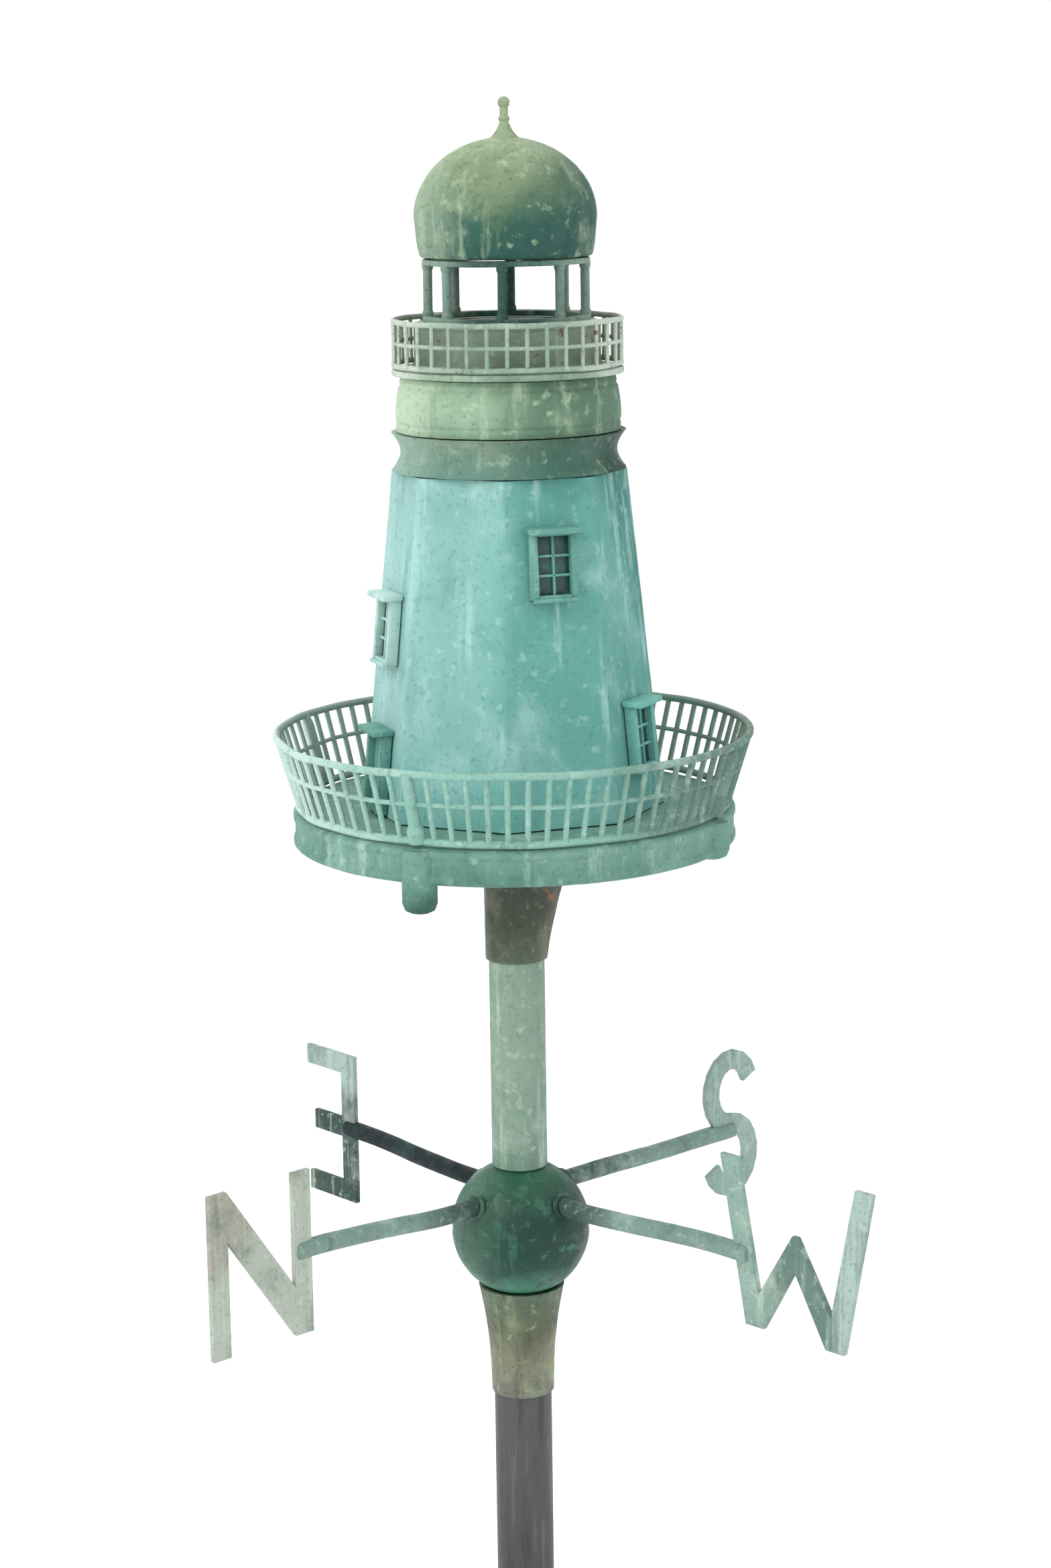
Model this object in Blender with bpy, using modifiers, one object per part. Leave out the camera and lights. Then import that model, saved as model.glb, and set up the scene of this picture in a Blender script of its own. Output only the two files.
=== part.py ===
# Lighthouse weathervane: a copper lighthouse that turns on a steel rod,
# above a ball with four arms that carry the compass letters.
# Units are metres, +Z is up, and the foot of the rod is at the origin.

import math

import bmesh
import bpy
from mathutils import Matrix, Vector

# Gaps between pieces
SEAT_GAP = 0.0003
RUN_GAP = 0.0008
BORE_CLEARANCE = 0.0004

# Rod and its turned fittings
ROD_RADIUS = 0.0116
ROD_EXPOSED = 0.1415
ROD_SOCKET_DEPTH = 0.012
ROD_FOOT_CHAMFER = 0.0008
SPINDLE_RADIUS = 0.0095
LOWER_CUP_HEIGHT = 0.0458
LOWER_CUP_NECK_RADIUS = 0.0128
LOWER_CUP_MOUTH_RADIUS = 0.0175
LOWER_CUP_CURVE = 2.2
HUB_BALL_RADIUS = 0.0280
BALL_SEAT_RADIUS = 0.0150
SLEEVE_RADIUS = 0.0112
SLEEVE_LENGTH = 0.1336
UPPER_CUP_HEIGHT = 0.0480
UPPER_CUP_NECK_RADIUS = 0.0125
UPPER_CUP_MOUTH_RADIUS = 0.0185
UPPER_CUP_LEAN = 0.0056
UPPER_CUP_CURVE = 1.3

# Compass arms and letters
ARM_RADIUS = 0.0037
ARM_ABOVE_BALL_CENTRE = 0.0137
ARM_SOCKET_RADIUS = 0.0140
ARM_STRAIGHT_END = 0.0300
LETTER_HEIGHT = 0.0650
LETTER_STROKE = 0.0085
LETTER_THICKNESS = 0.0024
N_WIDTH = 0.0480
E_WIDTH = 0.0310
S_WIDTH = 0.0320
W_WIDTH = 0.0740
STEM_GRIP = 0.0070
BOWL_GRIP = 0.0180
SLANT_GRIP = 0.0140
LETTER_WIDTHS = {"n": N_WIDTH, "e": E_WIDTH, "s": S_WIDTH, "w": W_WIDTH}
LETTER_GRIPS = {"n": STEM_GRIP, "e": STEM_GRIP, "s": BOWL_GRIP, "w": SLANT_GRIP}

# The arms are a little bent, so each has its own bearing, reach and rise
LETTER_BEARINGS = {"n": 222.5, "e": 132.5, "s": 42.5, "w": 314.5}
LETTER_STARTS = {"n": 0.1085, "e": 0.1030, "s": 0.1060, "w": 0.1090}
ARM_RISES = {"n": 0.0050, "e": 0.0030, "s": -0.0010, "w": 0.0050}
LETTER_LIFTS = {"n": -0.0010, "e": 0.0, "s": 0.0030, "w": 0.0045}

# Platform under the tower
PLATFORM_RADIUS = 0.0870
PLATFORM_THICKNESS = 0.0147
PLATFORM_EDGE = 0.0020
BOSS_RADIUS = 0.0068
BOSS_DROP = 0.0110
RAILING_BEARING = -25.0
RAILING_INSET = 0.0025
RAILING_FLARE = 0.0080
RAILING_HEIGHT = 0.0270
RAILING_WIRE = 0.0015
PICKET_WIRE = 0.0011
PICKETS_PER_SIDE = 10
NEWEL_COUNT = 4
NEWEL_RADIUS = 0.0034

# Tower
TOWER_SIDES = 8
TOWER_TURN = -3.0
TOWER_HEIGHT = 0.1310
TOWER_FOOT_RADIUS = 0.0595
TOWER_TOP_RADIUS = 0.0458
WINDOW_WIDTH = 0.0130
WINDOW_HEIGHT = 0.0220
FRONT_WINDOW_SHARE = 0.756
LEFT_WINDOW_SHARE = 0.545
RIGHT_WINDOW_SHARE = 0.229
DOOR_WIDTH = 0.0130
DOOR_HEIGHT = 0.0270
WINDOW_FRAME = 0.0026
WINDOW_DEPTH = 0.0045
WINDOW_PANE_INSET = 0.0030
HOOD_RISE = 0.0035

# Gallery and lantern
COLLAR_HEIGHT = 0.0145
COLLAR_RADIUS = 0.0452
COLLAR_WAIST = 0.0418
CORNICE_HEIGHT = 0.0210
CORNICE_FOOT_RADIUS = 0.0432
CORNICE_TOP_RADIUS = 0.0412
CORNICE_BULGE = 0.0010
GALLERY_RADIUS = 0.0446
GALLERY_THICKNESS = 0.0026
GALLERY_RAIL_HEIGHT = 0.0165
GALLERY_WIRE = 0.0011
GALLERY_PICKET_WIRE = 0.0008
GALLERY_PICKETS = 20
DRUM_RADIUS = 0.0365
DRUM_HEIGHT = 0.0168
LANTERN_RADIUS = 0.0320
LANTERN_HEIGHT = 0.0237
LANTERN_RING = 0.0022
LANTERN_POST = 0.0020
LANTERN_POSTS = 8

# Roof
ROOF_RADIUS = 0.0350
ROOF_BAND = 0.0150
ROOF_DOME_HEIGHT = 0.0300
ROOF_NECK_RADIUS = 0.0050
ROOF_NECK_HEIGHT = 0.0060
FINIAL_STEM_RADIUS = 0.0016
FINIAL_STEM_HEIGHT = 0.0038
FINIAL_BALL_RADIUS = 0.0023

# Facets
TURN_STEPS = 26
FINE_STEPS = 36
SMALL_STEPS = 16
WIRE_SIDES = 6

# Heights that follow from the sizes above
LOWER_CUP_TOP = ROD_EXPOSED + LOWER_CUP_HEIGHT
BALL_CENTRE_Z = LOWER_CUP_TOP + math.sqrt(HUB_BALL_RADIUS**2 - BALL_SEAT_RADIUS**2)
ARM_Z = BALL_CENTRE_Z + ARM_ABOVE_BALL_CENTRE
BALL_TOP_Z = BALL_CENTRE_Z + math.sqrt(HUB_BALL_RADIUS**2 - SLEEVE_RADIUS**2)
SLEEVE_BOTTOM = BALL_TOP_Z + RUN_GAP
PLATFORM_Z = SLEEVE_BOTTOM + SLEEVE_LENGTH + SEAT_GAP
DECK_Z = PLATFORM_Z + PLATFORM_THICKNESS
TOWER_Z = DECK_Z + SEAT_GAP
TOWER_TOP_Z = TOWER_Z + TOWER_HEIGHT
COLLAR_Z = TOWER_TOP_Z + SEAT_GAP
CORNICE_Z = COLLAR_Z + COLLAR_HEIGHT + SEAT_GAP
GALLERY_Z = CORNICE_Z + CORNICE_HEIGHT + SEAT_GAP
DRUM_Z = GALLERY_Z + GALLERY_THICKNESS + SEAT_GAP
LANTERN_Z = DRUM_Z + DRUM_HEIGHT + SEAT_GAP
ROOF_Z = LANTERN_Z + LANTERN_HEIGHT + SEAT_GAP
FINIAL_Z = ROOF_Z + ROOF_BAND + ROOF_DOME_HEIGHT + ROOF_NECK_HEIGHT + SEAT_GAP

# Radii that follow from the sizes above
RAILING_FOOT_RADIUS = PLATFORM_RADIUS - RAILING_INSET
RAILING_TOP_RADIUS = RAILING_FOOT_RADIUS + RAILING_FLARE
GALLERY_RAIL_RADIUS = GALLERY_RADIUS - GALLERY_WIRE

VERDIGRIS = (0.22, 0.46, 0.41)
PALE_VERDIGRIS = (0.36, 0.52, 0.42)
OLIVE_GREY = (0.25, 0.27, 0.19)
DARK_PATINA = (0.05, 0.13, 0.10)
BROWN_COPPER = (0.10, 0.09, 0.06)
GREY_STEEL = (0.16, 0.16, 0.16)
BARE_ARM = "e"


def clear_scene():
    for old in list(bpy.data.objects):
        bpy.data.objects.remove(old, do_unlink=True)


def new_collection(name):
    collection = bpy.data.collections.new(name)
    bpy.context.scene.collection.children.link(collection)
    return collection


clear_scene()
PARTS = new_collection("lighthouse_weathervane")
CUTTERS = new_collection("cutters")


def metal(name, colour, roughness=0.6, metallic=0.5):
    material = bpy.data.materials.new(name)
    material.use_nodes = True
    shader = material.node_tree.nodes["Principled BSDF"]
    shader.inputs["Base Color"].default_value = (*colour, 1.0)
    shader.inputs["Roughness"].default_value = roughness
    shader.inputs["Metallic"].default_value = metallic
    return material


def add_piece(name, mesh, colour, parent, roughness=0.6):
    """A visible piece with its own material, carried by its body's axis."""
    piece = bpy.data.objects.new(name, mesh)
    PARTS.objects.link(piece)
    mesh.materials.clear()
    mesh.materials.append(metal(name, colour, roughness))
    if parent is not None:
        piece.parent = parent
        piece.matrix_parent_inverse = Matrix.Translation(-parent.location)
    return piece


def add_helper(name, mesh):
    """A cutter or a shape to be joined, hidden from the build."""
    helper = bpy.data.objects.new(name, mesh)
    CUTTERS.objects.link(helper)
    helper.hide_render = True
    helper.display_type = "WIRE"
    return helper


def boolean(piece, helper, operation):
    modifier = piece.modifiers.new(f"{operation.lower()} {helper.name}", "BOOLEAN")
    modifier.operation = operation
    modifier.object = helper
    return modifier


def axis_empty(name, height):
    empty = bpy.data.objects.new(name, None)
    empty.location = (0, 0, height)
    PARTS.objects.link(empty)
    return empty


def profile_mesh(name, profile, closed):
    """The open or closed outline of a turned shape, as (radius, height) points."""
    mesh = bpy.data.meshes.new(name)
    outline = bmesh.new()
    points = [outline.verts.new((radius, 0, height)) for radius, height in profile]
    for first, second in zip(points, points[1:]):
        outline.edges.new((first, second))
    if closed:
        outline.edges.new((points[-1], points[0]))
    outline.to_mesh(mesh)
    outline.free()
    return mesh


def turn(shape, steps):
    """Spins an outline once round Z."""
    screw = shape.modifiers.new("turned", "SCREW")
    screw.axis = "Z"
    screw.angle = math.tau
    screw.steps = steps
    screw.render_steps = steps
    screw.use_merge_vertices = True
    screw.merge_threshold = 1e-6
    return shape


def turned(name, profile, colour, parent, steps=TURN_STEPS, closed=False):
    mesh = profile_mesh(name, profile, closed)
    return turn(add_piece(name, mesh, colour, parent), steps)


def arc(centre, radius, start, end, count):
    """Points of an arc in the profile plane, angles in degrees from +X."""
    points = []
    for i in range(count + 1):
        angle = math.radians(start + (end - start) * i / count)
        points.append(
            (centre[0] + radius * math.cos(angle), centre[1] + radius * math.sin(angle))
        )
    return points


def flare(mouth, neck, top, bottom, curve, count=6):
    """A bell curve from a wide mouth at the top to a straight neck at the bottom."""
    points = []
    for i in range(count + 1):
        share = i / count
        radius = neck + (mouth - neck) * (1 - share) ** curve
        points.append((radius, top + (bottom - top) * share))
    return points


def cylinder_mesh(name, radius, length, sides):
    """A capped cylinder along +Z from the origin."""
    mesh = bpy.data.meshes.new(name)
    shape = bmesh.new()
    bmesh.ops.create_cone(
        shape, cap_ends=True, segments=sides, radius1=radius, radius2=radius, depth=length
    )
    bmesh.ops.translate(shape, verts=shape.verts, vec=(0, 0, length / 2))
    shape.to_mesh(mesh)
    shape.free()
    return mesh


def box_mesh(name, size, centre=(0, 0, 0)):
    mesh = bpy.data.meshes.new(name)
    shape = bmesh.new()
    bmesh.ops.create_cube(shape, size=1)
    bmesh.ops.scale(shape, verts=shape.verts, vec=size)
    bmesh.ops.translate(shape, verts=shape.verts, vec=centre)
    shape.to_mesh(mesh)
    shape.free()
    return mesh


def polar(radius, bearing, height):
    """A point at a bearing in degrees, anticlockwise from +X."""
    angle = math.radians(bearing)
    return Vector((radius * math.cos(angle), radius * math.sin(angle), height))


def front_bearing(degrees):
    """A bearing counted from the front, -Y, turning towards +X."""
    return -90.0 + degrees


def wire_mesh(name, points, radius, sides=WIRE_SIDES):
    """A round wire through the points, closed at both ends."""
    curve = bpy.data.curves.new(name, "CURVE")
    curve.dimensions = "3D"
    curve.bevel_depth = radius
    curve.bevel_resolution = max(sides // 2 - 2, 0)
    curve.use_fill_caps = True
    spline = curve.splines.new("POLY")
    spline.points.add(len(points) - 1)
    for point, place in zip(spline.points, points):
        point.co = (*place, 1)
    holder = bpy.data.objects.new(name, curve)
    CUTTERS.objects.link(holder)
    bpy.context.view_layer.update()
    graph = bpy.context.evaluated_depsgraph_get()
    mesh = bpy.data.meshes.new_from_object(holder.evaluated_get(graph))
    bpy.data.objects.remove(holder)
    bpy.data.curves.remove(curve)
    shape = bmesh.new()
    shape.from_mesh(mesh)
    bmesh.ops.remove_doubles(shape, verts=shape.verts, dist=1e-6)
    bmesh.ops.recalc_face_normals(shape, faces=shape.faces)
    shape.to_mesh(mesh)
    shape.free()
    mesh.name = name
    return mesh


def ring_mesh(name, radius, height, wire, steps, sides=WIRE_SIDES):
    """A closed ring of round wire, lying level."""
    mesh = bpy.data.meshes.new(name)
    shape = bmesh.new()
    section = bmesh.ops.create_circle(shape, segments=sides, radius=wire)["verts"]
    upright = Matrix.Rotation(math.pi / 2, 4, "X")
    bmesh.ops.transform(
        shape, matrix=Matrix.Translation((radius, 0, height)) @ upright, verts=section
    )
    bmesh.ops.spin(
        shape,
        geom=shape.edges[:],
        cent=(0, 0, 0),
        axis=(0, 0, 1),
        angle=math.tau,
        steps=steps,
        use_merge=True,
    )
    bmesh.ops.recalc_face_normals(shape, faces=shape.faces)
    shape.to_mesh(mesh)
    shape.free()
    return mesh


def lathe_mesh(name, profile, steps):
    """A solid turned from an outline that starts and ends on the axis."""
    mesh = bpy.data.meshes.new(name)
    shape = bmesh.new()
    points = [shape.verts.new((radius, 0, height)) for radius, height in profile]
    edges = [shape.edges.new(pair) for pair in zip(points, points[1:])]
    bmesh.ops.spin(
        shape,
        geom=points + edges,
        cent=(0, 0, 0),
        axis=(0, 0, 1),
        angle=math.tau,
        steps=steps,
        use_merge=True,
    )
    bmesh.ops.remove_doubles(shape, verts=shape.verts, dist=1e-6)
    bmesh.ops.recalc_face_normals(shape, faces=shape.faces)
    shape.to_mesh(mesh)
    shape.free()
    return mesh


def merged(name, meshes):
    """Several closed meshes in one mesh, each still its own shell."""
    mesh = bpy.data.meshes.new(name)
    shape = bmesh.new()
    for part in meshes:
        shape.from_mesh(part)
        bpy.data.meshes.remove(part)
    shape.to_mesh(mesh)
    shape.free()
    return mesh


def build_rod(mast):
    """A steel rod that steps down to the spindle the figure turns on."""
    spindle_tip = PLATFORM_Z - SEAT_GAP
    profile = [
        (0, spindle_tip),
        (SPINDLE_RADIUS * 0.7, spindle_tip),
        (SPINDLE_RADIUS, spindle_tip - SPINDLE_RADIUS * 0.3),
        (SPINDLE_RADIUS, ROD_EXPOSED + ROD_SOCKET_DEPTH),
        (ROD_RADIUS, ROD_EXPOSED + ROD_SOCKET_DEPTH),
        (ROD_RADIUS, ROD_FOOT_CHAMFER),
        (ROD_RADIUS - ROD_FOOT_CHAMFER, 0),
        (0, 0),
    ]
    turned("mounting_rod", profile, GREY_STEEL, mast)


def build_lower_cup(mast):
    """A flared cup, socketed over the rod, whose mouth holds the ball."""
    bore = SPINDLE_RADIUS + BORE_CLEARANCE
    socket = ROD_RADIUS + SEAT_GAP
    floor = ROD_EXPOSED + ROD_SOCKET_DEPTH + SEAT_GAP
    mouth = LOWER_CUP_MOUTH_RADIUS
    outside = flare(mouth, LOWER_CUP_NECK_RADIUS, LOWER_CUP_TOP, ROD_EXPOSED, LOWER_CUP_CURVE)
    seat_drop = BALL_CENTRE_Z - math.sqrt((HUB_BALL_RADIUS + SEAT_GAP) ** 2 - bore**2)
    seat = arc_below_ball(bore, LOWER_CUP_TOP, seat_drop)
    inside = [(socket, ROD_EXPOSED), (socket, floor), (bore, floor)]
    turned("lower_cup", outside + inside + seat, BROWN_COPPER, mast, closed=True)


def arc_below_ball(inner_radius, top, low):
    """The spherical seat in the lower cup's mouth, from its bore out to its lip."""
    radius = HUB_BALL_RADIUS + SEAT_GAP
    outer = math.sqrt(radius**2 - (BALL_CENTRE_Z - top) ** 2)
    steps = 2
    points = [(inner_radius, low)]
    for i in range(1, steps + 1):
        reach = inner_radius + (outer - inner_radius) * i / steps
        points.append((reach, BALL_CENTRE_Z - math.sqrt(radius**2 - reach**2)))
    return points


def build_hub_ball(mast):
    """A ball bored for the spindle and socketed for the four arms."""
    bore = SPINDLE_RADIUS + BORE_CLEARANCE
    tilt = math.degrees(math.acos(bore / HUB_BALL_RADIUS))
    outside = arc((0, BALL_CENTRE_Z), HUB_BALL_RADIUS, tilt, -tilt, 10)
    ball = turned("hub_ball", outside, DARK_PATINA, mast, steps=TURN_STEPS, closed=True)
    for letter, bearing in LETTER_BEARINGS.items():
        length = HUB_BALL_RADIUS
        mesh = cylinder_mesh(f"socket_{letter}", ARM_RADIUS + SEAT_GAP, length, 12)
        lay = Matrix.Rotation(math.pi / 2, 4, "Y")
        swing = Matrix.Rotation(math.radians(bearing), 4, "Z")
        start = Matrix.Translation((ARM_SOCKET_RADIUS - SEAT_GAP, 0, ARM_Z))
        mesh.transform(swing @ start @ lay)
        boolean(ball, add_helper(f"socket_{letter}", mesh), "DIFFERENCE")


def arm_points(letter):
    """An arm's centre line in its own vertical plane: level, rising or falling a little, level."""
    points = [(ARM_SOCKET_RADIUS, ARM_Z)]
    steps = 6
    end = LETTER_STARTS[letter] - RUN_GAP
    for i in range(steps + 1):
        share = i / steps
        rise = ARM_RISES[letter] * share**2 * (3 - 2 * share)
        points.append((ARM_STRAIGHT_END + (end - ARM_STRAIGHT_END) * share, ARM_Z + rise))
    points.append((LETTER_STARTS[letter] + LETTER_GRIPS[letter], ARM_Z + ARM_RISES[letter]))
    return points


def build_arm(letter, mast):
    """A round arm from the ball to its letter, slotted at the tip for the plate."""
    bearing = LETTER_BEARINGS[letter]
    line = [polar(radius, bearing, height) for radius, height in arm_points(letter)]
    colour = BROWN_COPPER if letter == BARE_ARM else VERDIGRIS
    arm = add_piece(f"arm_{letter}", wire_mesh(f"arm_{letter}", line, ARM_RADIUS, 8), colour, mast)
    slot_start = LETTER_STARTS[letter] - SEAT_GAP
    slot_length = LETTER_GRIPS[letter] + ARM_RADIUS
    size = (slot_length, LETTER_THICKNESS + 2 * SEAT_GAP, 4 * ARM_RADIUS)
    centre = (slot_start + slot_length / 2, 0, ARM_Z + ARM_RISES[letter])
    slot = box_mesh(f"slot_{letter}", size, centre)
    slot.transform(Matrix.Rotation(math.radians(bearing), 4, "Z"))
    boolean(arm, add_helper(f"slot_{letter}", slot), "DIFFERENCE")


def outline_n(width, height, stroke):
    """Two uprights and the diagonal that falls from the left to the right."""
    slant = stroke * 1.25
    return [
        (0, 0), (stroke, 0), (stroke, height - slant * 1.9), (width - stroke, 0), (width, 0),
        (width, height), (width - stroke, height), (width - stroke, slant * 1.9),
        (stroke, height), (0, height),
    ]


def outline_e(width, height, stroke):
    """An upright at the left with three bars."""
    low = (height - stroke) / 2
    high = (height + stroke) / 2
    middle = width * 0.86
    return [
        (0, 0), (width, 0), (width, stroke), (stroke, stroke), (stroke, low), (middle, low),
        (middle, high), (stroke, high), (stroke, height - stroke), (width, height - stroke),
        (width, height), (0, height),
    ]


def outline_w(width, height, stroke):
    """Two nearly upright outer strokes, with a low peak between them."""
    foot = width * 0.232
    middle = width / 2
    half = stroke / 2
    peak = height * 0.62
    valley = stroke * 1.6
    return [
        (0, height), (foot - half, 0), (foot + half * 1.1, 0), (middle, peak - stroke * 1.65),
        (width - foot - half * 1.1, 0), (width - foot + half, 0), (width, height),
        (width - stroke, height), (width - foot - half * 0.5, valley), (middle + half * 0.3, peak),
        (middle - half * 0.3, peak), (foot + half * 0.5, valley), (stroke, height),
    ]


def outline_s(width, height, stroke):
    """Two bowls, offset both ways from one S-shaped centre line."""
    across = (width - stroke) / 2
    rise = (height - stroke) / 4
    middle = width / 2
    upper = height - stroke / 2 - rise
    lower = stroke / 2 + rise
    line = []
    for i in range(13):
        angle = math.radians(20 + 250 * i / 12)
        line.append((middle + across * math.cos(angle), upper + rise * math.sin(angle)))
    for i in range(1, 13):
        angle = math.radians(90 - 250 * i / 12)
        line.append((middle + across * math.cos(angle), lower + rise * math.sin(angle)))
    left = []
    right = []
    for i, point in enumerate(line):
        before = Vector(line[max(i - 1, 0)])
        after = Vector(line[min(i + 1, len(line) - 1)])
        along = (after - before).normalized()
        side = Vector((-along.y, along.x)) * stroke / 2
        left.append(tuple(Vector(point) + side))
        right.append(tuple(Vector(point) - side))
    return right + left[::-1]


LETTER_OUTLINES = {"n": outline_n, "e": outline_e, "s": outline_s, "w": outline_w}
READ_OUTWARDS = {"n": False, "e": True, "s": True, "w": True}


def build_letter(letter, mast):
    """A flat plate standing in the vertical plane of its arm."""
    width = LETTER_WIDTHS[letter]
    outline = LETTER_OUTLINES[letter](width, LETTER_HEIGHT, LETTER_STROKE)
    curve = bpy.data.curves.new(f"letter_{letter}", "CURVE")
    curve.dimensions = "2D"
    curve.fill_mode = "BOTH"
    curve.extrude = LETTER_THICKNESS / 2
    spline = curve.splines.new("POLY")
    spline.points.add(len(outline) - 1)
    spline.use_cyclic_u = True
    for point, (across, up) in zip(spline.points, outline):
        point.co = (across, up - LETTER_HEIGHT / 2, 0, 1)
    outwards = READ_OUTWARDS[letter]
    along = polar(1 if outwards else -1, LETTER_BEARINGS[letter], 0)
    start = LETTER_STARTS[letter] + (0 if outwards else width)
    middle = ARM_Z + ARM_RISES[letter] + LETTER_LIFTS[letter]
    place = polar(start, LETTER_BEARINGS[letter], middle)
    upward = Vector((0, 0, 1))
    turn_to = Matrix((along, upward, along.cross(upward))).transposed().to_4x4()
    plate = bpy.data.objects.new(f"letter_{letter}", curve)
    PARTS.objects.link(plate)
    curve.materials.append(metal(f"letter_{letter}", PALE_VERDIGRIS))
    plate.parent = mast
    plate.matrix_parent_inverse = Matrix.Translation(-mast.location)
    plate.matrix_basis = Matrix.Translation(place) @ turn_to


def build_sleeve(vane):
    """The figure's tube, which turns on the spindle."""
    top = SLEEVE_BOTTOM + SLEEVE_LENGTH
    bore = SPINDLE_RADIUS + BORE_CLEARANCE
    profile = [
        (SLEEVE_RADIUS, top),
        (SLEEVE_RADIUS, SLEEVE_BOTTOM),
        (bore, SLEEVE_BOTTOM),
        (bore, top),
    ]
    turned("sleeve_tube", profile, PALE_VERDIGRIS, vane, closed=True)


def build_upper_cup(vane):
    """A flared cup round the sleeve, whose mouth leans to one side under the platform."""
    top = PLATFORM_Z - SEAT_GAP
    bottom = top - UPPER_CUP_HEIGHT
    mouth = UPPER_CUP_MOUTH_RADIUS
    outside = flare(mouth, UPPER_CUP_NECK_RADIUS, top, bottom, UPPER_CUP_CURVE)
    body = lathe_mesh("upper_cup", [(0, top)] + outside + [(0, bottom)], TURN_STEPS)
    for vertex in body.vertices:
        share = max(0.0, (vertex.co.z - bottom) / UPPER_CUP_HEIGHT)
        vertex.co.x += UPPER_CUP_LEAN * share**UPPER_CUP_CURVE
    cup = add_piece("upper_cup", body, BROWN_COPPER, vane)
    bore = cylinder_mesh("cup_bore", SLEEVE_RADIUS + SEAT_GAP, 2 * UPPER_CUP_HEIGHT, TURN_STEPS)
    bore.transform(Matrix.Translation((0, 0, bottom - UPPER_CUP_HEIGHT / 2)))
    boolean(cup, add_helper("cup_bore", bore), "DIFFERENCE")


def build_platform(vane):
    """The round platform with its rolled edge, and a boss under each newel post."""
    edge = PLATFORM_EDGE
    profile = [
        (0, DECK_Z),
        (PLATFORM_RADIUS - edge, DECK_Z),
        (PLATFORM_RADIUS, DECK_Z - edge),
        (PLATFORM_RADIUS, PLATFORM_Z + edge),
        (PLATFORM_RADIUS - edge, PLATFORM_Z),
        (0, PLATFORM_Z),
    ]
    platform = turned("platform", profile, DARK_PATINA, vane, steps=FINE_STEPS)
    bosses = []
    for i in range(NEWEL_COUNT):
        drop = BOSS_DROP if i == 0 else edge
        length = PLATFORM_THICKNESS - edge + drop
        boss = cylinder_mesh(f"boss_{i}", BOSS_RADIUS, length, SMALL_STEPS)
        bearing = front_bearing(RAILING_BEARING) + 360 * i / NEWEL_COUNT
        place = polar(PLATFORM_RADIUS - BOSS_RADIUS / 2, bearing, PLATFORM_Z - drop)
        boss.transform(Matrix.Translation(place))
        bosses.append(boss)
    boolean(platform, add_helper("bosses", merged("bosses", bosses)), "UNION")


def build_platform_railing(vane):
    """A flared railing of pickets between two rings, with four newel posts."""
    foot = DECK_Z + SEAT_GAP + RAILING_WIRE
    top = foot + RAILING_HEIGHT
    rings = [
        ring_mesh("railing_foot_ring", RAILING_FOOT_RADIUS, foot, RAILING_WIRE, FINE_STEPS, 4),
        ring_mesh("railing_top_ring", RAILING_TOP_RADIUS, top, RAILING_WIRE, FINE_STEPS, 4),
    ]
    pickets = []
    count = NEWEL_COUNT * PICKETS_PER_SIDE
    for i in range(count):
        bearing = front_bearing(RAILING_BEARING) + 360 * i / count
        ends = [polar(RAILING_FOOT_RADIUS, bearing, foot), polar(RAILING_TOP_RADIUS, bearing, top)]
        newel = i % PICKETS_PER_SIDE == 0
        wire, sides = (NEWEL_RADIUS, 8) if newel else (PICKET_WIRE, 4)
        pickets.append(wire_mesh(f"picket_{i}", ends, wire, sides))
    railing = add_piece("platform_railing", merged("platform_railing", pickets), VERDIGRIS, vane)
    boolean(railing, add_helper("railing_rings", merged("railing_rings", rings)), "UNION")


def build_tower(vane):
    """The tapered eight-sided tower."""
    mesh = bpy.data.meshes.new("tower")
    shape = bmesh.new()
    bmesh.ops.create_cone(
        shape,
        cap_ends=True,
        segments=TOWER_SIDES,
        radius1=TOWER_FOOT_RADIUS,
        radius2=TOWER_TOP_RADIUS,
        depth=TOWER_HEIGHT,
    )
    bmesh.ops.rotate(
        shape,
        verts=shape.verts,
        cent=(0, 0, 0),
        matrix=Matrix.Rotation(math.radians(TOWER_TURN), 3, "Z"),
    )
    bmesh.ops.translate(shape, verts=shape.verts, vec=(0, 0, TOWER_Z + TOWER_HEIGHT / 2))
    shape.to_mesh(mesh)
    shape.free()
    return add_piece("tower", mesh, VERDIGRIS, vane)


def tower_face(side, height):
    """The frame of a tower face: X across, Y up the slope, Z out of it."""
    inner = math.cos(math.pi / TOWER_SIDES)
    share = (height - TOWER_Z) / TOWER_HEIGHT
    circle = TOWER_FOOT_RADIUS + (TOWER_TOP_RADIUS - TOWER_FOOT_RADIUS) * share
    bearing = front_bearing(TOWER_TURN + (side + 0.5) * 360 / TOWER_SIDES)
    centre = polar(circle * inner, bearing, height)
    lean = math.atan((TOWER_FOOT_RADIUS - TOWER_TOP_RADIUS) * inner / TOWER_HEIGHT)
    out = polar(math.cos(lean), bearing, math.sin(lean))
    across = Vector((0, 0, 1)).cross(out).normalized()
    slope = out.cross(across)
    turn_to = Matrix((across, slope, out)).transposed().to_4x4()
    return Matrix.Translation(centre) @ turn_to


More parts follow.
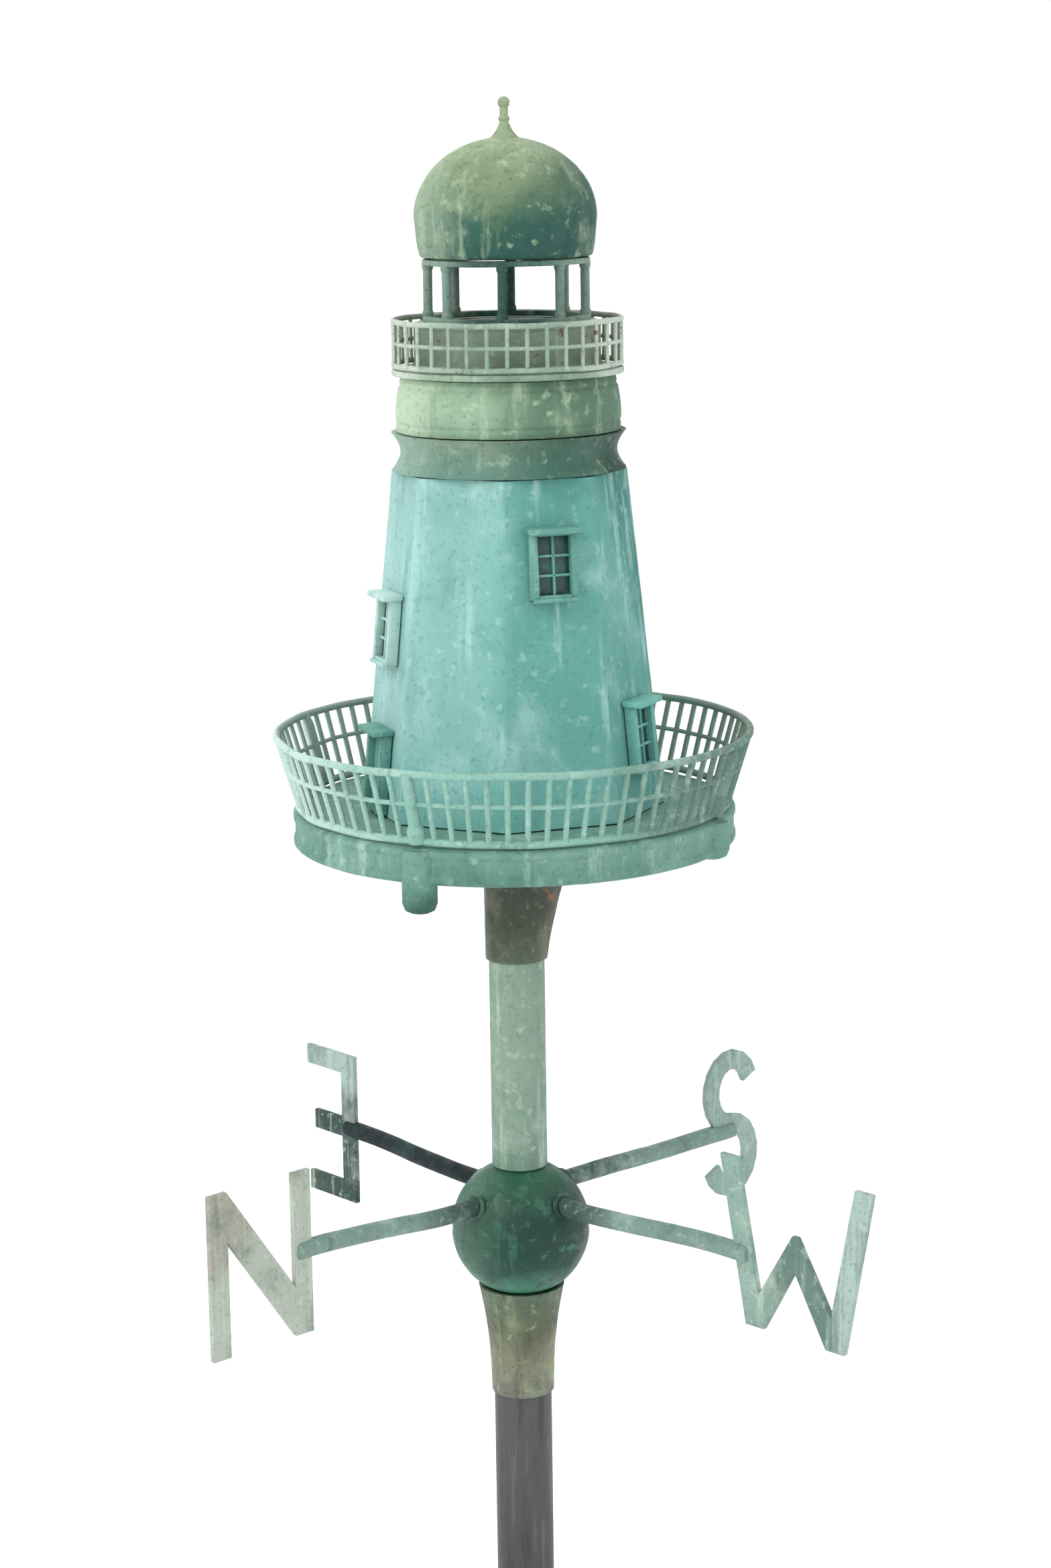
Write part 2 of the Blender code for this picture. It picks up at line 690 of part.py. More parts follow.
def build_window(name, side, height, width, tall, vane):
    """A raised window frame with a pane and a small hood, fixed to a tower face."""
    outer = (width + 2 * WINDOW_FRAME, tall + 2 * WINDOW_FRAME, WINDOW_DEPTH)
    face = tower_face(side, height) @ Matrix.Translation((0, 0, SEAT_GAP))
    body = box_mesh(name, outer, (0, 0, WINDOW_DEPTH / 2))
    body.transform(face)
    window = add_piece(name, body, VERDIGRIS, vane)
    recess = box_mesh(f"{name}_recess", (width, tall, WINDOW_DEPTH))
    recess.transform(face @ Matrix.Translation((0, 0, WINDOW_DEPTH * 1.5 - WINDOW_PANE_INSET)))
    boolean(window, add_helper(f"{name}_recess", recess), "DIFFERENCE")
    hood_size = (outer[0] + WINDOW_FRAME, WINDOW_FRAME, WINDOW_DEPTH + HOOD_RISE)
    hood_centre = (0, tall / 2 + WINDOW_FRAME, (WINDOW_DEPTH + HOOD_RISE) / 2)
    hood = box_mesh(f"{name}_hood", hood_size, hood_centre)
    hood.transform(face)
    boolean(window, add_helper(f"{name}_hood", hood), "UNION")


def build_tower_top(vane):
    """The shadowed collar and the bright cornice under the gallery."""
    top = COLLAR_Z + COLLAR_HEIGHT
    steps = 5
    outside = []
    for i in range(steps + 1):
        share = i / steps
        waist = math.sin(math.pi * share)
        radius = COLLAR_RADIUS - (COLLAR_RADIUS - COLLAR_WAIST) * waist
        outside.append((radius, top - COLLAR_HEIGHT * share))
    turned("tower_collar", [(0, top)] + outside + [(0, COLLAR_Z)], DARK_PATINA, vane)
    top = CORNICE_Z + CORNICE_HEIGHT
    outside = []
    for i in range(steps + 1):
        share = i / steps
        bulge = CORNICE_BULGE * math.sin(math.pi * share)
        radius = CORNICE_TOP_RADIUS + (CORNICE_FOOT_RADIUS - CORNICE_TOP_RADIUS) * share
        outside.append((radius + bulge, top - CORNICE_HEIGHT * share))
    turned("cornice", [(0, top)] + outside + [(0, CORNICE_Z)], PALE_VERDIGRIS, vane)


def build_gallery(vane):
    """The gallery deck, its drum and its light railing."""
    top = GALLERY_Z + GALLERY_THICKNESS
    deck = [(0, top), (GALLERY_RADIUS, top), (GALLERY_RADIUS, GALLERY_Z), (0, GALLERY_Z)]
    turned("gallery_deck", deck, VERDIGRIS, vane)
    top = DRUM_Z + DRUM_HEIGHT
    drum = [(0, top), (DRUM_RADIUS, top), (DRUM_RADIUS, DRUM_Z), (0, DRUM_Z)]
    turned("lantern_drum", drum, BROWN_COPPER, vane)
    foot = DRUM_Z + GALLERY_WIRE
    rail = foot + GALLERY_RAIL_HEIGHT
    middle = (foot + rail) / 2
    rings = [
        ring_mesh(f"gallery_ring_{i}", GALLERY_RAIL_RADIUS, height, GALLERY_WIRE, TURN_STEPS, 4)
        for i, height in enumerate((foot, middle, rail))
    ]
    pickets = []
    for i in range(GALLERY_PICKETS):
        bearing = front_bearing(TOWER_TURN) + 360 * i / GALLERY_PICKETS
        ends = [polar(GALLERY_RAIL_RADIUS, bearing, z) for z in (foot, rail)]
        pickets.append(wire_mesh(f"gallery_picket_{i}", ends, GALLERY_PICKET_WIRE, 4))
    railing = add_piece("gallery_railing", merged("gallery_railing", pickets), OLIVE_GREY, vane)
    boolean(railing, add_helper("gallery_rings", merged("gallery_rings", rings)), "UNION")


def ring_profile(outer, inner, top, bottom):
    return [(outer, top), (outer, bottom), (inner, bottom), (inner, top)]


def build_lantern(vane):
    """Posts between a sill ring and a head ring."""
    inner = LANTERN_RADIUS - 2 * LANTERN_POST
    sill_top = LANTERN_Z + LANTERN_RING
    head = LANTERN_Z + LANTERN_HEIGHT
    sill = ring_profile(LANTERN_RADIUS, inner, sill_top, LANTERN_Z)
    frame = turned("lantern_frame", sill, VERDIGRIS, vane, closed=True)
    head_mesh = profile_mesh(
        "lantern_head", ring_profile(LANTERN_RADIUS, inner, head, head - LANTERN_RING), True
    )
    posts = []
    for i in range(LANTERN_POSTS):
        bearing = front_bearing(TOWER_TURN) + 360 * i / LANTERN_POSTS
        post = cylinder_mesh(
            f"post_{i}", LANTERN_POST * 0.85, LANTERN_HEIGHT - LANTERN_RING, SMALL_STEPS // 2
        )
        place = polar(LANTERN_RADIUS - LANTERN_POST, bearing, LANTERN_Z + LANTERN_RING / 2)
        post.transform(Matrix.Translation(place))
        posts.append(post)
    boolean(frame, add_helper("lantern_posts", merged("lantern_posts", posts)), "UNION")
    boolean(frame, turn(add_helper("lantern_head", head_mesh), TURN_STEPS), "UNION")


def build_roof(vane):
    """A domed roof with a plain band and a drawn-up neck, and its finial."""
    band_top = ROOF_Z + ROOF_BAND
    dome_top = band_top + ROOF_DOME_HEIGHT
    neck_top = dome_top + ROOF_NECK_HEIGHT
    outside = [(0, neck_top), (FINIAL_STEM_RADIUS, neck_top)]
    steps = 9
    for i in range(steps + 1):
        angle = math.pi / 2 * i / steps
        reach = ROOF_RADIUS * math.sin(angle)
        height = band_top + ROOF_DOME_HEIGHT * math.cos(angle)
        if reach > ROOF_NECK_RADIUS:
            outside.append((reach, height))
        elif i == 0:
            outside.append((ROOF_NECK_RADIUS * 0.6, dome_top + ROOF_NECK_HEIGHT * 0.4))
    outside += [(ROOF_RADIUS * 0.97, ROOF_Z + ROOF_BAND * 0.3), (ROOF_RADIUS * 0.94, ROOF_Z)]
    turned("roof", outside + [(0, ROOF_Z)], DARK_PATINA, vane)
    ball = FINIAL_Z + FINIAL_STEM_HEIGHT + FINIAL_BALL_RADIUS
    low = math.degrees(math.asin(FINIAL_STEM_RADIUS / FINIAL_BALL_RADIUS)) - 90
    knob = arc((0, ball), FINIAL_BALL_RADIUS, 75, low, 6)
    stem = [(FINIAL_STEM_RADIUS, FINIAL_Z), (0, FINIAL_Z)]
    top = [(0, ball + FINIAL_BALL_RADIUS)]
    turned("finial", top + knob + stem, BROWN_COPPER, vane, steps=SMALL_STEPS)


def main():
    mast = axis_empty("mast_axis", 0)
    vane = axis_empty("vane_axis", SLEEVE_BOTTOM)
    build_rod(mast)
    build_lower_cup(mast)
    build_hub_ball(mast)
    for letter in LETTER_BEARINGS:
        build_arm(letter, mast)
        build_letter(letter, mast)
    build_sleeve(vane)
    build_upper_cup(vane)
    build_platform(vane)
    build_platform_railing(vane)
    build_tower(vane)
    openings = {
        "window_front": (0, FRONT_WINDOW_SHARE),
        "window_left": (-2, LEFT_WINDOW_SHARE),
        "window_right": (1, RIGHT_WINDOW_SHARE),
    }
    for name, (side, share) in openings.items():
        height = TOWER_Z + TOWER_HEIGHT * share
        build_window(name, side, height, WINDOW_WIDTH, WINDOW_HEIGHT, vane)
    door_height = TOWER_Z + WINDOW_FRAME + DOOR_HEIGHT / 2 + RUN_GAP
    build_window("tower_door", -2, door_height, DOOR_WIDTH, DOOR_HEIGHT, vane)
    build_tower_top(vane)
    build_gallery(vane)
    build_lantern(vane)
    build_roof(vane)


main()
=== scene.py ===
"""Looks of a copper lighthouse weathervane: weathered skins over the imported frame, and a pale stage."""

import math

import bmesh
import bpy
from mathutils import Matrix, Vector, noise


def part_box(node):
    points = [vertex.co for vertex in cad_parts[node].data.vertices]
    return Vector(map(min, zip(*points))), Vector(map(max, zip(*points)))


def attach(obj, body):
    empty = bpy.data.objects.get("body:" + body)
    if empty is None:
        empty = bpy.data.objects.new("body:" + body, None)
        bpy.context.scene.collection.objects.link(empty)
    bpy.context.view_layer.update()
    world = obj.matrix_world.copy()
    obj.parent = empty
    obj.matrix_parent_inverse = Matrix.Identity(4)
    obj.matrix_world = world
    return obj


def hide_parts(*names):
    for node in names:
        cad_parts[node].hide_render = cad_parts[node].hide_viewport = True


bl_info = {
    "name": "Lighthouse Weathervane",
    "version": (1, 0, 0),
    "blender": (4, 5, 0),
    "location": "View3D > Sidebar > Weathervane",
    "description": "Dresses the weathervane's frame in weathered copper and sets it on a pale stage",
    "category": "Add Mesh",
}

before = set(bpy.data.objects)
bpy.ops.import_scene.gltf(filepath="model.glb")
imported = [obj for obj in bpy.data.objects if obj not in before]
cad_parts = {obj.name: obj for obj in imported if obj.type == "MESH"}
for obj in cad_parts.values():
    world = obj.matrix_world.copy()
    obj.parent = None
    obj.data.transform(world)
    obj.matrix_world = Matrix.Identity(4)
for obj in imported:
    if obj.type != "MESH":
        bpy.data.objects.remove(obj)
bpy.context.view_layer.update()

MAST = "mast"
VANE = "vane"
LETTERS = ("n", "e", "s", "w")
TOWER_SIDES = 8
LANTERN_POSTS = 8
NEWEL_POSTS = 4
FRONT = -math.pi / 2
LEFT, RIGHT, UP, DOWN = (-1, 0, 0), (1, 0, 0), (0, 0, 1), (0, 0, -1)
SEAT_GAP = 0.0003
BORE_GAP = 0.0004
SMOOTH_ANGLE = math.radians(38)
HOOD_SLOPE = 0.12


def shade(red, green, blue):
    """A display colour, 0 to 255, as the linear colour that shaders take."""
    shares = [value / 255 for value in (red, green, blue)]
    return tuple(
        share / 12.92 if share <= 0.04045 else ((share + 0.055) / 1.055) ** 2.4 for share in shares
    )


def paint(colour):
    """The linear colour of a display colour, which is a tuple, or of one that is linear already."""
    return shade(*colour) if isinstance(colour, tuple) else (*colour,)


def length_size(name, description, default):
    return bpy.props.FloatProperty(
        name=name, description=description, default=default, min=0.0, precision=4,
        subtype="DISTANCE", unit="LENGTH",
    )


def turn_size(name, description, degrees):
    return bpy.props.FloatProperty(
        name=name, description=description, default=math.radians(degrees),
        subtype="ANGLE", unit="ROTATION",
    )


def count_size(name, description, default):
    return bpy.props.IntProperty(name=name, description=description, default=default, min=3)


def colour_choice(name, description, red, green, blue):
    return bpy.props.FloatVectorProperty(
        name=name, description=description, default=shade(red, green, blue), size=3, min=0.0,
        max=1.0, subtype="COLOR",
    )


class MastSizes(bpy.types.PropertyGroup):
    """Sizes of the rod, the ball and what they carry."""

    rod_radius: length_size("Rod", "Radius of the steel rod", 0.0116)
    spindle_radius: length_size("Spindle", "Radius of the rod's upper, stepped down part", 0.0095)
    socket_depth: length_size("Socket", "How far the rod stands in the lower cup", 0.012)
    lower_cup_neck: length_size("Lower cup neck", "Radius of the lower cup at its foot", 0.0128)
    lower_cup_mouth: length_size("Lower cup mouth", "Radius of the lower cup under the ball", 0.0175)
    ball_radius: length_size("Ball", "Radius of the ball that holds the arms", 0.028)
    arm_radius: length_size("Arm", "Radius of a compass arm", 0.0037)
    arm_straight: length_size("Arm root", "Where an arm starts to rise, from the axis", 0.030)
    letter_bevel: length_size("Letter edge", "How far a letter's edges are worn round", 0.0004)


class VaneSizes(bpy.types.PropertyGroup):
    """Sizes of the turning lighthouse below its lantern."""

    sleeve_radius: length_size("Sleeve", "Outer radius of the tube under the platform", 0.0112)
    upper_cup_neck: length_size("Upper cup neck", "Radius of the upper cup at its foot", 0.0125)
    upper_cup_mouth: length_size("Upper cup mouth", "Radius of the upper cup at its mouth", 0.0185)
    upper_cup_lean: length_size("Upper cup lean", "How far the mouth leans to one side", 0.0056)
    upper_cup_lip: length_size("Upper cup lip", "How far the rolled lip stands out of the mouth", 0.0014)
    platform_radius: length_size("Platform", "Radius of the platform", 0.087)
    boss_radius: length_size("Boss", "Radius of the bosses under the newel posts", 0.0068)
    boss_drop: length_size("Boss drop", "How far the front boss hangs below the platform", 0.011)
    railing_turn: turn_size("Railing turn", "Bearing of the first newel post from the front", -25)
    railing_foot: length_size("Railing foot", "Radius of the platform railing at the deck", 0.0845)
    railing_top: length_size("Railing top", "Radius of the platform railing at its rail", 0.0925)
    railing_wire: length_size("Rail wire", "Radius of the platform railing's rails", 0.0015)
    picket_wire: length_size("Picket wire", "Radius of one picket of the platform railing", 0.0011)
    newel_radius: length_size("Newel post", "Radius of the railing's four newel posts", 0.0034)
    pickets: count_size("Pickets", "Number of pickets in the platform railing", 76)
    tower_turn: turn_size("Tower turn", "How far the tower is turned about the axis", -3)
    window_frame: length_size("Window frame", "Width of the frame round a window", 0.0026)
    window_depth: length_size("Window depth", "How far a window stands out of its wall", 0.0045)
    hood_rise: length_size("Hood", "How far a window's hood reaches past its frame", 0.0035)


class LanternSizes(bpy.types.PropertyGroup):
    """Sizes of the mouldings, the gallery, the lantern and the roof."""

    collar_waist: length_size("Collar waist", "Smallest radius of the hollow collar", 0.0418)
    cornice_top: length_size("Cornice top", "Radius of the cornice under the gallery", 0.0412)
    cornice_foot: length_size("Cornice foot", "Radius of the cornice on the collar", 0.0432)
    gallery_rail: length_size("Gallery rail", "Radius of the gallery railing", 0.0435)
    gallery_wire: length_size("Gallery wire", "Radius of the gallery railing's rails", 0.0011)
    gallery_picket: length_size("Gallery picket", "Radius of one picket of the gallery", 0.0008)
    gallery_pickets: count_size("Gallery pickets", "Number of pickets in the gallery railing", 36)
    lantern_ring: length_size("Lantern ring", "Height of the lantern's sill and head", 0.0022)
    lantern_post: length_size("Lantern post", "Half the depth of the lantern's rings", 0.0020)
    roof_band: length_size("Roof band", "Height of the plain band under the dome", 0.015)
    dome_height: length_size("Dome", "Height of the dome over its band", 0.030)
    neck_radius: length_size("Neck", "Radius at which the dome turns up into its neck", 0.005)
    stem_radius: length_size("Finial stem", "Radius of the finial's stem", 0.0016)
    finial_ball: length_size("Finial ball", "Radius of the finial's ball", 0.0023)


class PatinaColours(bpy.types.PropertyGroup):
    """Colours of the weathered metals."""

    steel: colour_choice("Steel", "Bare steel of the rod", 87, 86, 89)
    rust: colour_choice("Rust", "Brown spots on the rod", 84, 78, 60)
    turquoise: colour_choice("Turquoise", "The tower's verdigris", 120, 172, 167)
    turquoise_light: colour_choice("Pale turquoise", "Chalky runs on the tower", 164, 204, 200)
    turquoise_deep: colour_choice("Deep turquoise", "Tower stains and dust on the panes", 70, 132, 122)
    pale_green: colour_choice("Pale green", "The sleeve under the platform", 127, 151, 135)
    olive: colour_choice("Olive", "Runs and bloom on the lower cup", 150, 166, 128)
    bare_copper: colour_choice("Bare copper", "Worn spots without verdigris", 120, 92, 70)
    glass: colour_choice("Panes", "Blind panes behind the window bars", 30, 64, 58)


def mast_sizes():
    return bpy.context.scene.weathervane_mast


def vane_sizes():
    return bpy.context.scene.weathervane_vane


def lantern_sizes():
    return bpy.context.scene.weathervane_lantern


def colours():
    return bpy.context.scene.weathervane_colours


class Graph:
    """A material's nodes, added and linked from the coordinates to the shader."""

    def __init__(self, name, colour=None):
        self.material = bpy.data.materials.new(name)
        self.material.use_nodes = True
        self.shader = self.material.node_tree.nodes["Principled BSDF"]
        coordinates = self.node("TexCoord").outputs
        self.place = coordinates["Object"]
        self.facing = coordinates["Normal"]
        self.colour = colour

    def plug(self, socket, value):
        """Links a socket, or gives it a plain value."""
        if isinstance(value, bpy.types.NodeSocket):
            self.material.node_tree.links.new(value, socket)
        else:
            socket.default_value = value

    def node(self, kind, inputs=None, **settings):
        """A new node with its settings, and its inputs plugged by name or number."""
        node = self.material.node_tree.nodes.new(f"ShaderNode{kind}")
        for setting, value in settings.items():
            setattr(node, setting, value)
        for key, value in (inputs or {}).items():
            self.plug(node.inputs[key], value)
        return node

    def noise(self, scale, detail, rough=0.55, seed=0.0, stretch=(1, 1, 1)):
        """A noise value over the piece; stretch squeezes its grain along an axis."""
        shift = (seed * 1.7, seed * 2.3, seed * 3.1)
        mapping = self.node("Mapping", {"Vector": self.place, "Location": shift, "Scale": stretch})
        grain = {"Scale": scale, "Detail": detail, "Roughness": rough}
        return self.node("TexNoise", {"Vector": mapping.outputs["Vector"], **grain}).outputs["Fac"]

    def span(self, value, low, high, top=1.0, bottom=0.0):
        """Maps low..high of a value to bottom..top, and holds it there outside."""
        ends = {"From Min": low, "From Max": high, "To Min": bottom, "To Max": top}
        node = self.node("MapRange", {"Value": value, **ends}, interpolation_type="SMOOTHSTEP")
        return node.outputs["Result"]

    def sum(self, first, second, share):
        """first * share + second."""
        inputs = {0: first, 1: share, 2: second}
        return self.node("Math", inputs, operation="MULTIPLY_ADD").outputs["Value"]

    def vector(self, operation, first, second=(0, 0, 0)):
        return self.node("VectorMath", {0: first, 1: second}, operation=operation).outputs

    def along(self, direction):
        """How far a point lies along a direction."""
        return self.vector("DOT_PRODUCT", self.place, direction)["Value"]

    def outwards(self):
        """1 where a face looks away from the axis, -1 where it looks towards it."""
        level = self.vector("MULTIPLY", self.place, (1, 1, 0))["Vector"]
        unit = self.vector("NORMALIZE", level)["Vector"]
        return self.vector("DOT_PRODUCT", unit, self.facing)["Value"]

    def lay(self, share, colour):
        """Lays a colour over the material by a share from 0 to 1."""
        under, over = (
            value if isinstance(value, bpy.types.NodeSocket) else (*paint(value), 1.0)
            for value in (self.colour, colour)
        )
        inputs = {"Factor": share, 6: under, 7: over}
        self.colour = self.node("Mix", inputs, data_type="RGBA").outputs[2]

    def grow(self, value, low, high, share, colour):
        """Lays a colour over the material where a value goes from low to high."""
        self.lay(self.span(value, low, high, share), colour)

    def bands(self, stops, wobble=0.004, seed=0.0):
        """Colours that change with height, at (height, colour) stops, on a wavering line."""
        ragged = self.sum(self.noise(55, 4, 0.6, seed + 11), self.along(UP), wobble * 6)
        low, high = stops[0][0], stops[-1][0]
        shift = wobble * 3
        ends = {"From Min": low + shift, "From Max": high + shift}
        level = self.node("MapRange", {"Value": ragged, **ends}).outputs["Result"]
        ramp = self.node("ValToRGB", {"Fac": level})
        elements = ramp.color_ramp.elements
        while len(elements) < len(stops):
            elements.new(0.5)
        for element, (height, colour) in zip(elements, stops):
            element.position = (height - low) / (high - low)
            element.color = (*paint(colour), 1.0)
        return ramp.outputs["Color"]

    def finish(self, roughness, relief=None, strength=0.0, distance=0.0):
        """Plugs colour, roughness and relief into the shader, and gives the material."""
        self.plug(self.shader.inputs["Base Color"], self.colour)
        self.plug(self.shader.inputs["Roughness"], roughness)
        if relief is not None:
            bump = self.node("Bump", {"Height": relief, "Strength": strength, "Distance": distance})
            self.plug(self.shader.inputs["Normal"], bump.outputs["Normal"])
        return self.material


def patina(name, main, light, dark, bare_share=0.3, grain=1.0, seed=0.0, inner=None, tints=(),
           rough=(0.55, 0.85), runs=0.5, stains=0.5):
    """Weathered copper: mottled verdigris with chalky runs, dark stains and worn bare spots.

    main is one colour, or a list of (height, colour) stops. Each tint is a colour, the direction in
    which it grows, where it starts and is full, and its share. Most tints are painted light and
    shade: a side or the outer edges of a piece made paler or darker.
    """
    graph = Graph(name, main)
    if isinstance(main, list):
        graph.colour = graph.bands(main, seed=seed)
    for tint, direction, low, high, share in tints:
        graph.grow(graph.along(direction), low, high, share, tint)
    broad = graph.noise(24 * grain, 6, 0.6, seed)
    graph.grow(broad, 0.52, 0.72, 0.55, light)
    graph.grow(broad, 0.46, 0.28, 0.55, dark)
    run = graph.noise(1, 5, 0.6, seed + 3, (120 * grain, 120 * grain, 10))
    graph.grow(run, 0.54, 0.70, runs, light)
    stain = graph.noise(1, 5, 0.6, seed + 6, (85 * grain, 85 * grain, 16))
    graph.grow(stain, 0.56, 0.74, stains, dark)
    speck = graph.noise(420 * grain, 4, 0.65, seed + 9)
    graph.grow(speck, 0.54, 0.68, 0.45, dark)
    graph.grow(graph.noise(190 * grain, 5, 0.6, seed + 15), 0.56, 0.72, 0.5, light)
    if inner is not None:
        graph.grow(graph.outwards(), 0.25, -0.35, 0.7, inner)
    worn = graph.noise(70 * grain, 8, 0.7, seed + 12)
    edge = 0.74 - bare_share * 0.3
    mask = graph.span(worn, edge, edge + 0.06)
    graph.lay(mask, colours().bare_copper)
    graph.plug(graph.shader.inputs["Metallic"], graph.span(mask, 0.0, 1.0, 0.75))
    graph.plug(graph.shader.inputs["Specular IOR Level"], 0.35)
    roughness = graph.span(worn, 0.35, 0.65, *rough)
    return graph.finish(roughness, graph.sum(speck, broad, 0.35), 0.35, 0.0012)


def brushed_steel(name, foot, top):
    """Dull steel with drawn lines, pale and dark water marks and a darker lower end."""
    graph = Graph(name)
    steel = Vector(colours().steel)
    graph.colour = graph.bands([(foot, steel * 0.55), (top, steel)], wobble=0.006)
    marks = graph.noise(1, 6, 0.65, 2.0, (140, 140, 14))
    graph.grow(marks, 0.50, 0.63, 0.65, steel * 0.40)
    graph.grow(marks, 0.48, 0.36, 0.45, steel * 2.0)
    rust = graph.noise(90, 7, 0.7, 5.0)
    graph.grow(rust, 0.57, 0.67, 0.6, colours().rust)
    drawn = graph.noise(1, 3, 0.5, 4.0, (1400, 1400, 18))
    graph.plug(graph.shader.inputs["Metallic"], 0.55)
    roughness = graph.span(marks, 0.4, 0.7, 0.38, 0.58)
    return graph.finish(roughness, graph.sum(rust, drawn, 0.5), 0.15, 0.0004)


def pane_material():
    """Dark blind panes with a dusty bloom."""
    graph = Graph("window_panes", colours().glass)
    dust = graph.noise(160, 6, 0.65, 1.0)
    graph.grow(dust, 0.45, 0.75, 0.5, colours().turquoise_deep)
    return graph.finish(graph.span(dust, 0.4, 0.7, 0.55, 0.3), dust, 0.2, 0.0005)


def floor_material():
    """A matt pale floor with the faintest unevenness."""
    graph = Graph("pale_floor", Vector((0.94, 0.94, 0.94)))
    graph.grow(graph.noise(3, 3, 0.5, 1.0), 0.3, 0.7, 1.0, Vector((0.96, 0.96, 0.96)))
    return graph.finish(0.9)


def heights(node):
    """The lowest and highest point of a frame node."""
    low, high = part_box(node)
    return low.z, high.z


def half_width(node):
    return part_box(node)[1].x


def ball_centre():
    """Height of the ball's centre: its flat ends are cut alike."""
    return sum(heights("hub_ball")) / 2


def banded(node, *stops):
    """Colour stops over a node's height, each a share of it and a display colour."""
    low, high = heights(node)
    return [(low + (high - low) * share, tuple(colour)) for share, *colour in stops]


def both_sides(colour, low, high, share):
    """A tint that grows to the left and to the right: painted light on both outer edges of a piece."""
    return [(colour, direction, low, high, share) for direction in (LEFT, RIGHT)]


def traced(steps, place):
    """What a function gives for the shares of a line, from 0 to 1."""
    return [place(i / steps) for i in range(steps + 1)]


def capped(outside):
    """The outline closed towards the axis at its first and last height."""
    return [(0, outside[0][1]), *outside, (0, outside[-1][1])]


def stepped(profile, longest):
    """The outline with its long stretches split, so that dents can shape them."""
    points = [Vector(profile[0])]
    for point in profile[1:]:
        start, end = points[-1], Vector(point)
        pieces = max(1, math.ceil((end - start).length / longest))
        points += [start.lerp(end, (i + 1) / pieces) for i in range(pieces)]
    return [tuple(point) for point in points]


def eased(profile, ease, closed=False):
    """The outline with its corners rounded off."""
    points = [Vector(point) for point in profile]
    soft = []
    for i, corner in enumerate(points):
        if not closed and i in (0, len(points) - 1):
            soft.append(tuple(corner))
            continue
        before = points[i - 1]
        after = points[(i + 1) % len(points)]
        reach = min(ease, (corner - before).length * 0.45, (after - corner).length * 0.45)
        start = corner + (before - corner).normalized() * reach
        end = corner + (after - corner).normalized() * reach
        soft += traced(3, lambda share: tuple(
            start.lerp(corner, share).lerp(corner.lerp(end, share), share)
        ))
    return soft


def flare(mouth, neck, top, bottom, curve):
    """A bell curve from a wide mouth at the top to a straight neck at the bottom."""
    return traced(18, lambda share: (
        neck + (mouth - neck) * (1 - share) ** curve, top + (bottom - top) * share
    ))


def polar(radius, bearing, height):
    """A point at a bearing in radians, anticlockwise from +X."""
    return Vector((radius * math.cos(bearing), radius * math.sin(bearing), height))


def edges_of(verts):
    return list({edge for vertex in verts for edge in vertex.link_edges})


def turn_round(shape, geom, steps):
    """Spins an outline once round Z."""
    bmesh.ops.spin(
        shape, geom=geom, cent=(0, 0, 0), axis=UP, angle=math.tau, steps=steps, use_merge=True
    )


def soften(shape, edges, offset):
    """Rounds edges off with a small bevel."""
    bmesh.ops.bevel(
        shape, geom=edges, offset=offset, offset_type="OFFSET", segments=2, profile=0.5,
        affect="EDGES", material=-1,
    )


def take_in(shape, part):
    """Adds another bmesh to the shape, and frees it."""
    holder = bpy.data.meshes.new("part")
    part.to_mesh(holder)
    part.free()
    shape.from_mesh(holder)
    bpy.data.meshes.remove(holder)


def spun(profile, steps=72, closed=False):
    """A bmesh turned round Z from (radius, height) points."""
    shape = bmesh.new()
    points = [shape.verts.new((radius, 0, height)) for radius, height in profile]
    edges = [shape.edges.new(pair) for pair in zip(points, points[1:])]
    if closed:
        edges.append(shape.edges.new((points[-1], points[0])))
    turn_round(shape, points + edges, steps)
    bmesh.ops.remove_doubles(shape, verts=shape.verts, dist=1e-6)
    bmesh.ops.recalc_face_normals(shape, faces=shape.faces)
    return shape


def dent(shape, depth, size, seed):
    """Hammered unevenness: points sink into the surface by a smooth noise."""
    shape.normal_update()
    shift = Vector((seed * 7.3, seed * 3.1, seed * 5.7))
    sunk = []
    for vertex in shape.verts:
        level = 0.65 * noise.noise(vertex.co / size + shift)
        level += 0.35 * noise.noise(vertex.co / size * 3.1 + shift)
        sunk.append(vertex.co - vertex.normal * depth * (0.5 + 0.5 * level))
    for vertex, place in zip(shape.verts, sunk):
        vertex.co = place


def wander(shape, reach, size, seed):
    """Slight bends: every point drifts with a smooth noise of its place."""
    noise.seed_set(seed)
    shift = Vector((seed * 2.9, seed * 4.3, seed * 6.1))
    for vertex in shape.verts:
        vertex.co += noise.noise_vector(vertex.co / size + shift) * reach


def add_rod(shape, points, radii, sides=12):
    """A round rod through the points, swept by extruding a disc, with a radius at each point."""
    frames = []
    for i, point in enumerate(points):
        ahead = points[min(i + 1, len(points) - 1)] - points[max(i - 1, 0)]
        turn = ahead.to_track_quat("Z", "Y").to_matrix().to_4x4()
        frames.append(Matrix.Translation(point) @ turn @ Matrix.Scale(radii[i], 4))
    disc = bmesh.ops.create_circle(shape, cap_ends=True, segments=sides, radius=1)["verts"]
    bmesh.ops.transform(shape, matrix=frames[0], verts=disc)
    face = disc[0].link_faces[0]
    for before, after in zip(frames, frames[1:]):
        grown = bmesh.ops.extrude_face_region(shape, geom=[face])["geom"]
        ring = [part for part in grown if isinstance(part, bmesh.types.BMVert)]
        face = [part for part in grown if isinstance(part, bmesh.types.BMFace)][0]
        bmesh.ops.transform(shape, matrix=after @ before.inverted(), verts=ring)


def add_ring(shape, radius, height, wire, steps=96, sides=10):
    """A level ring of round wire."""
    section = bmesh.ops.create_circle(shape, segments=sides, radius=wire)["verts"]
    place = Matrix.Translation((radius, 0, height)) @ Matrix.Rotation(math.pi / 2, 4, "X")
    bmesh.ops.transform(shape, matrix=place, verts=section)
    turn_round(shape, list(section) + edges_of(section), steps)


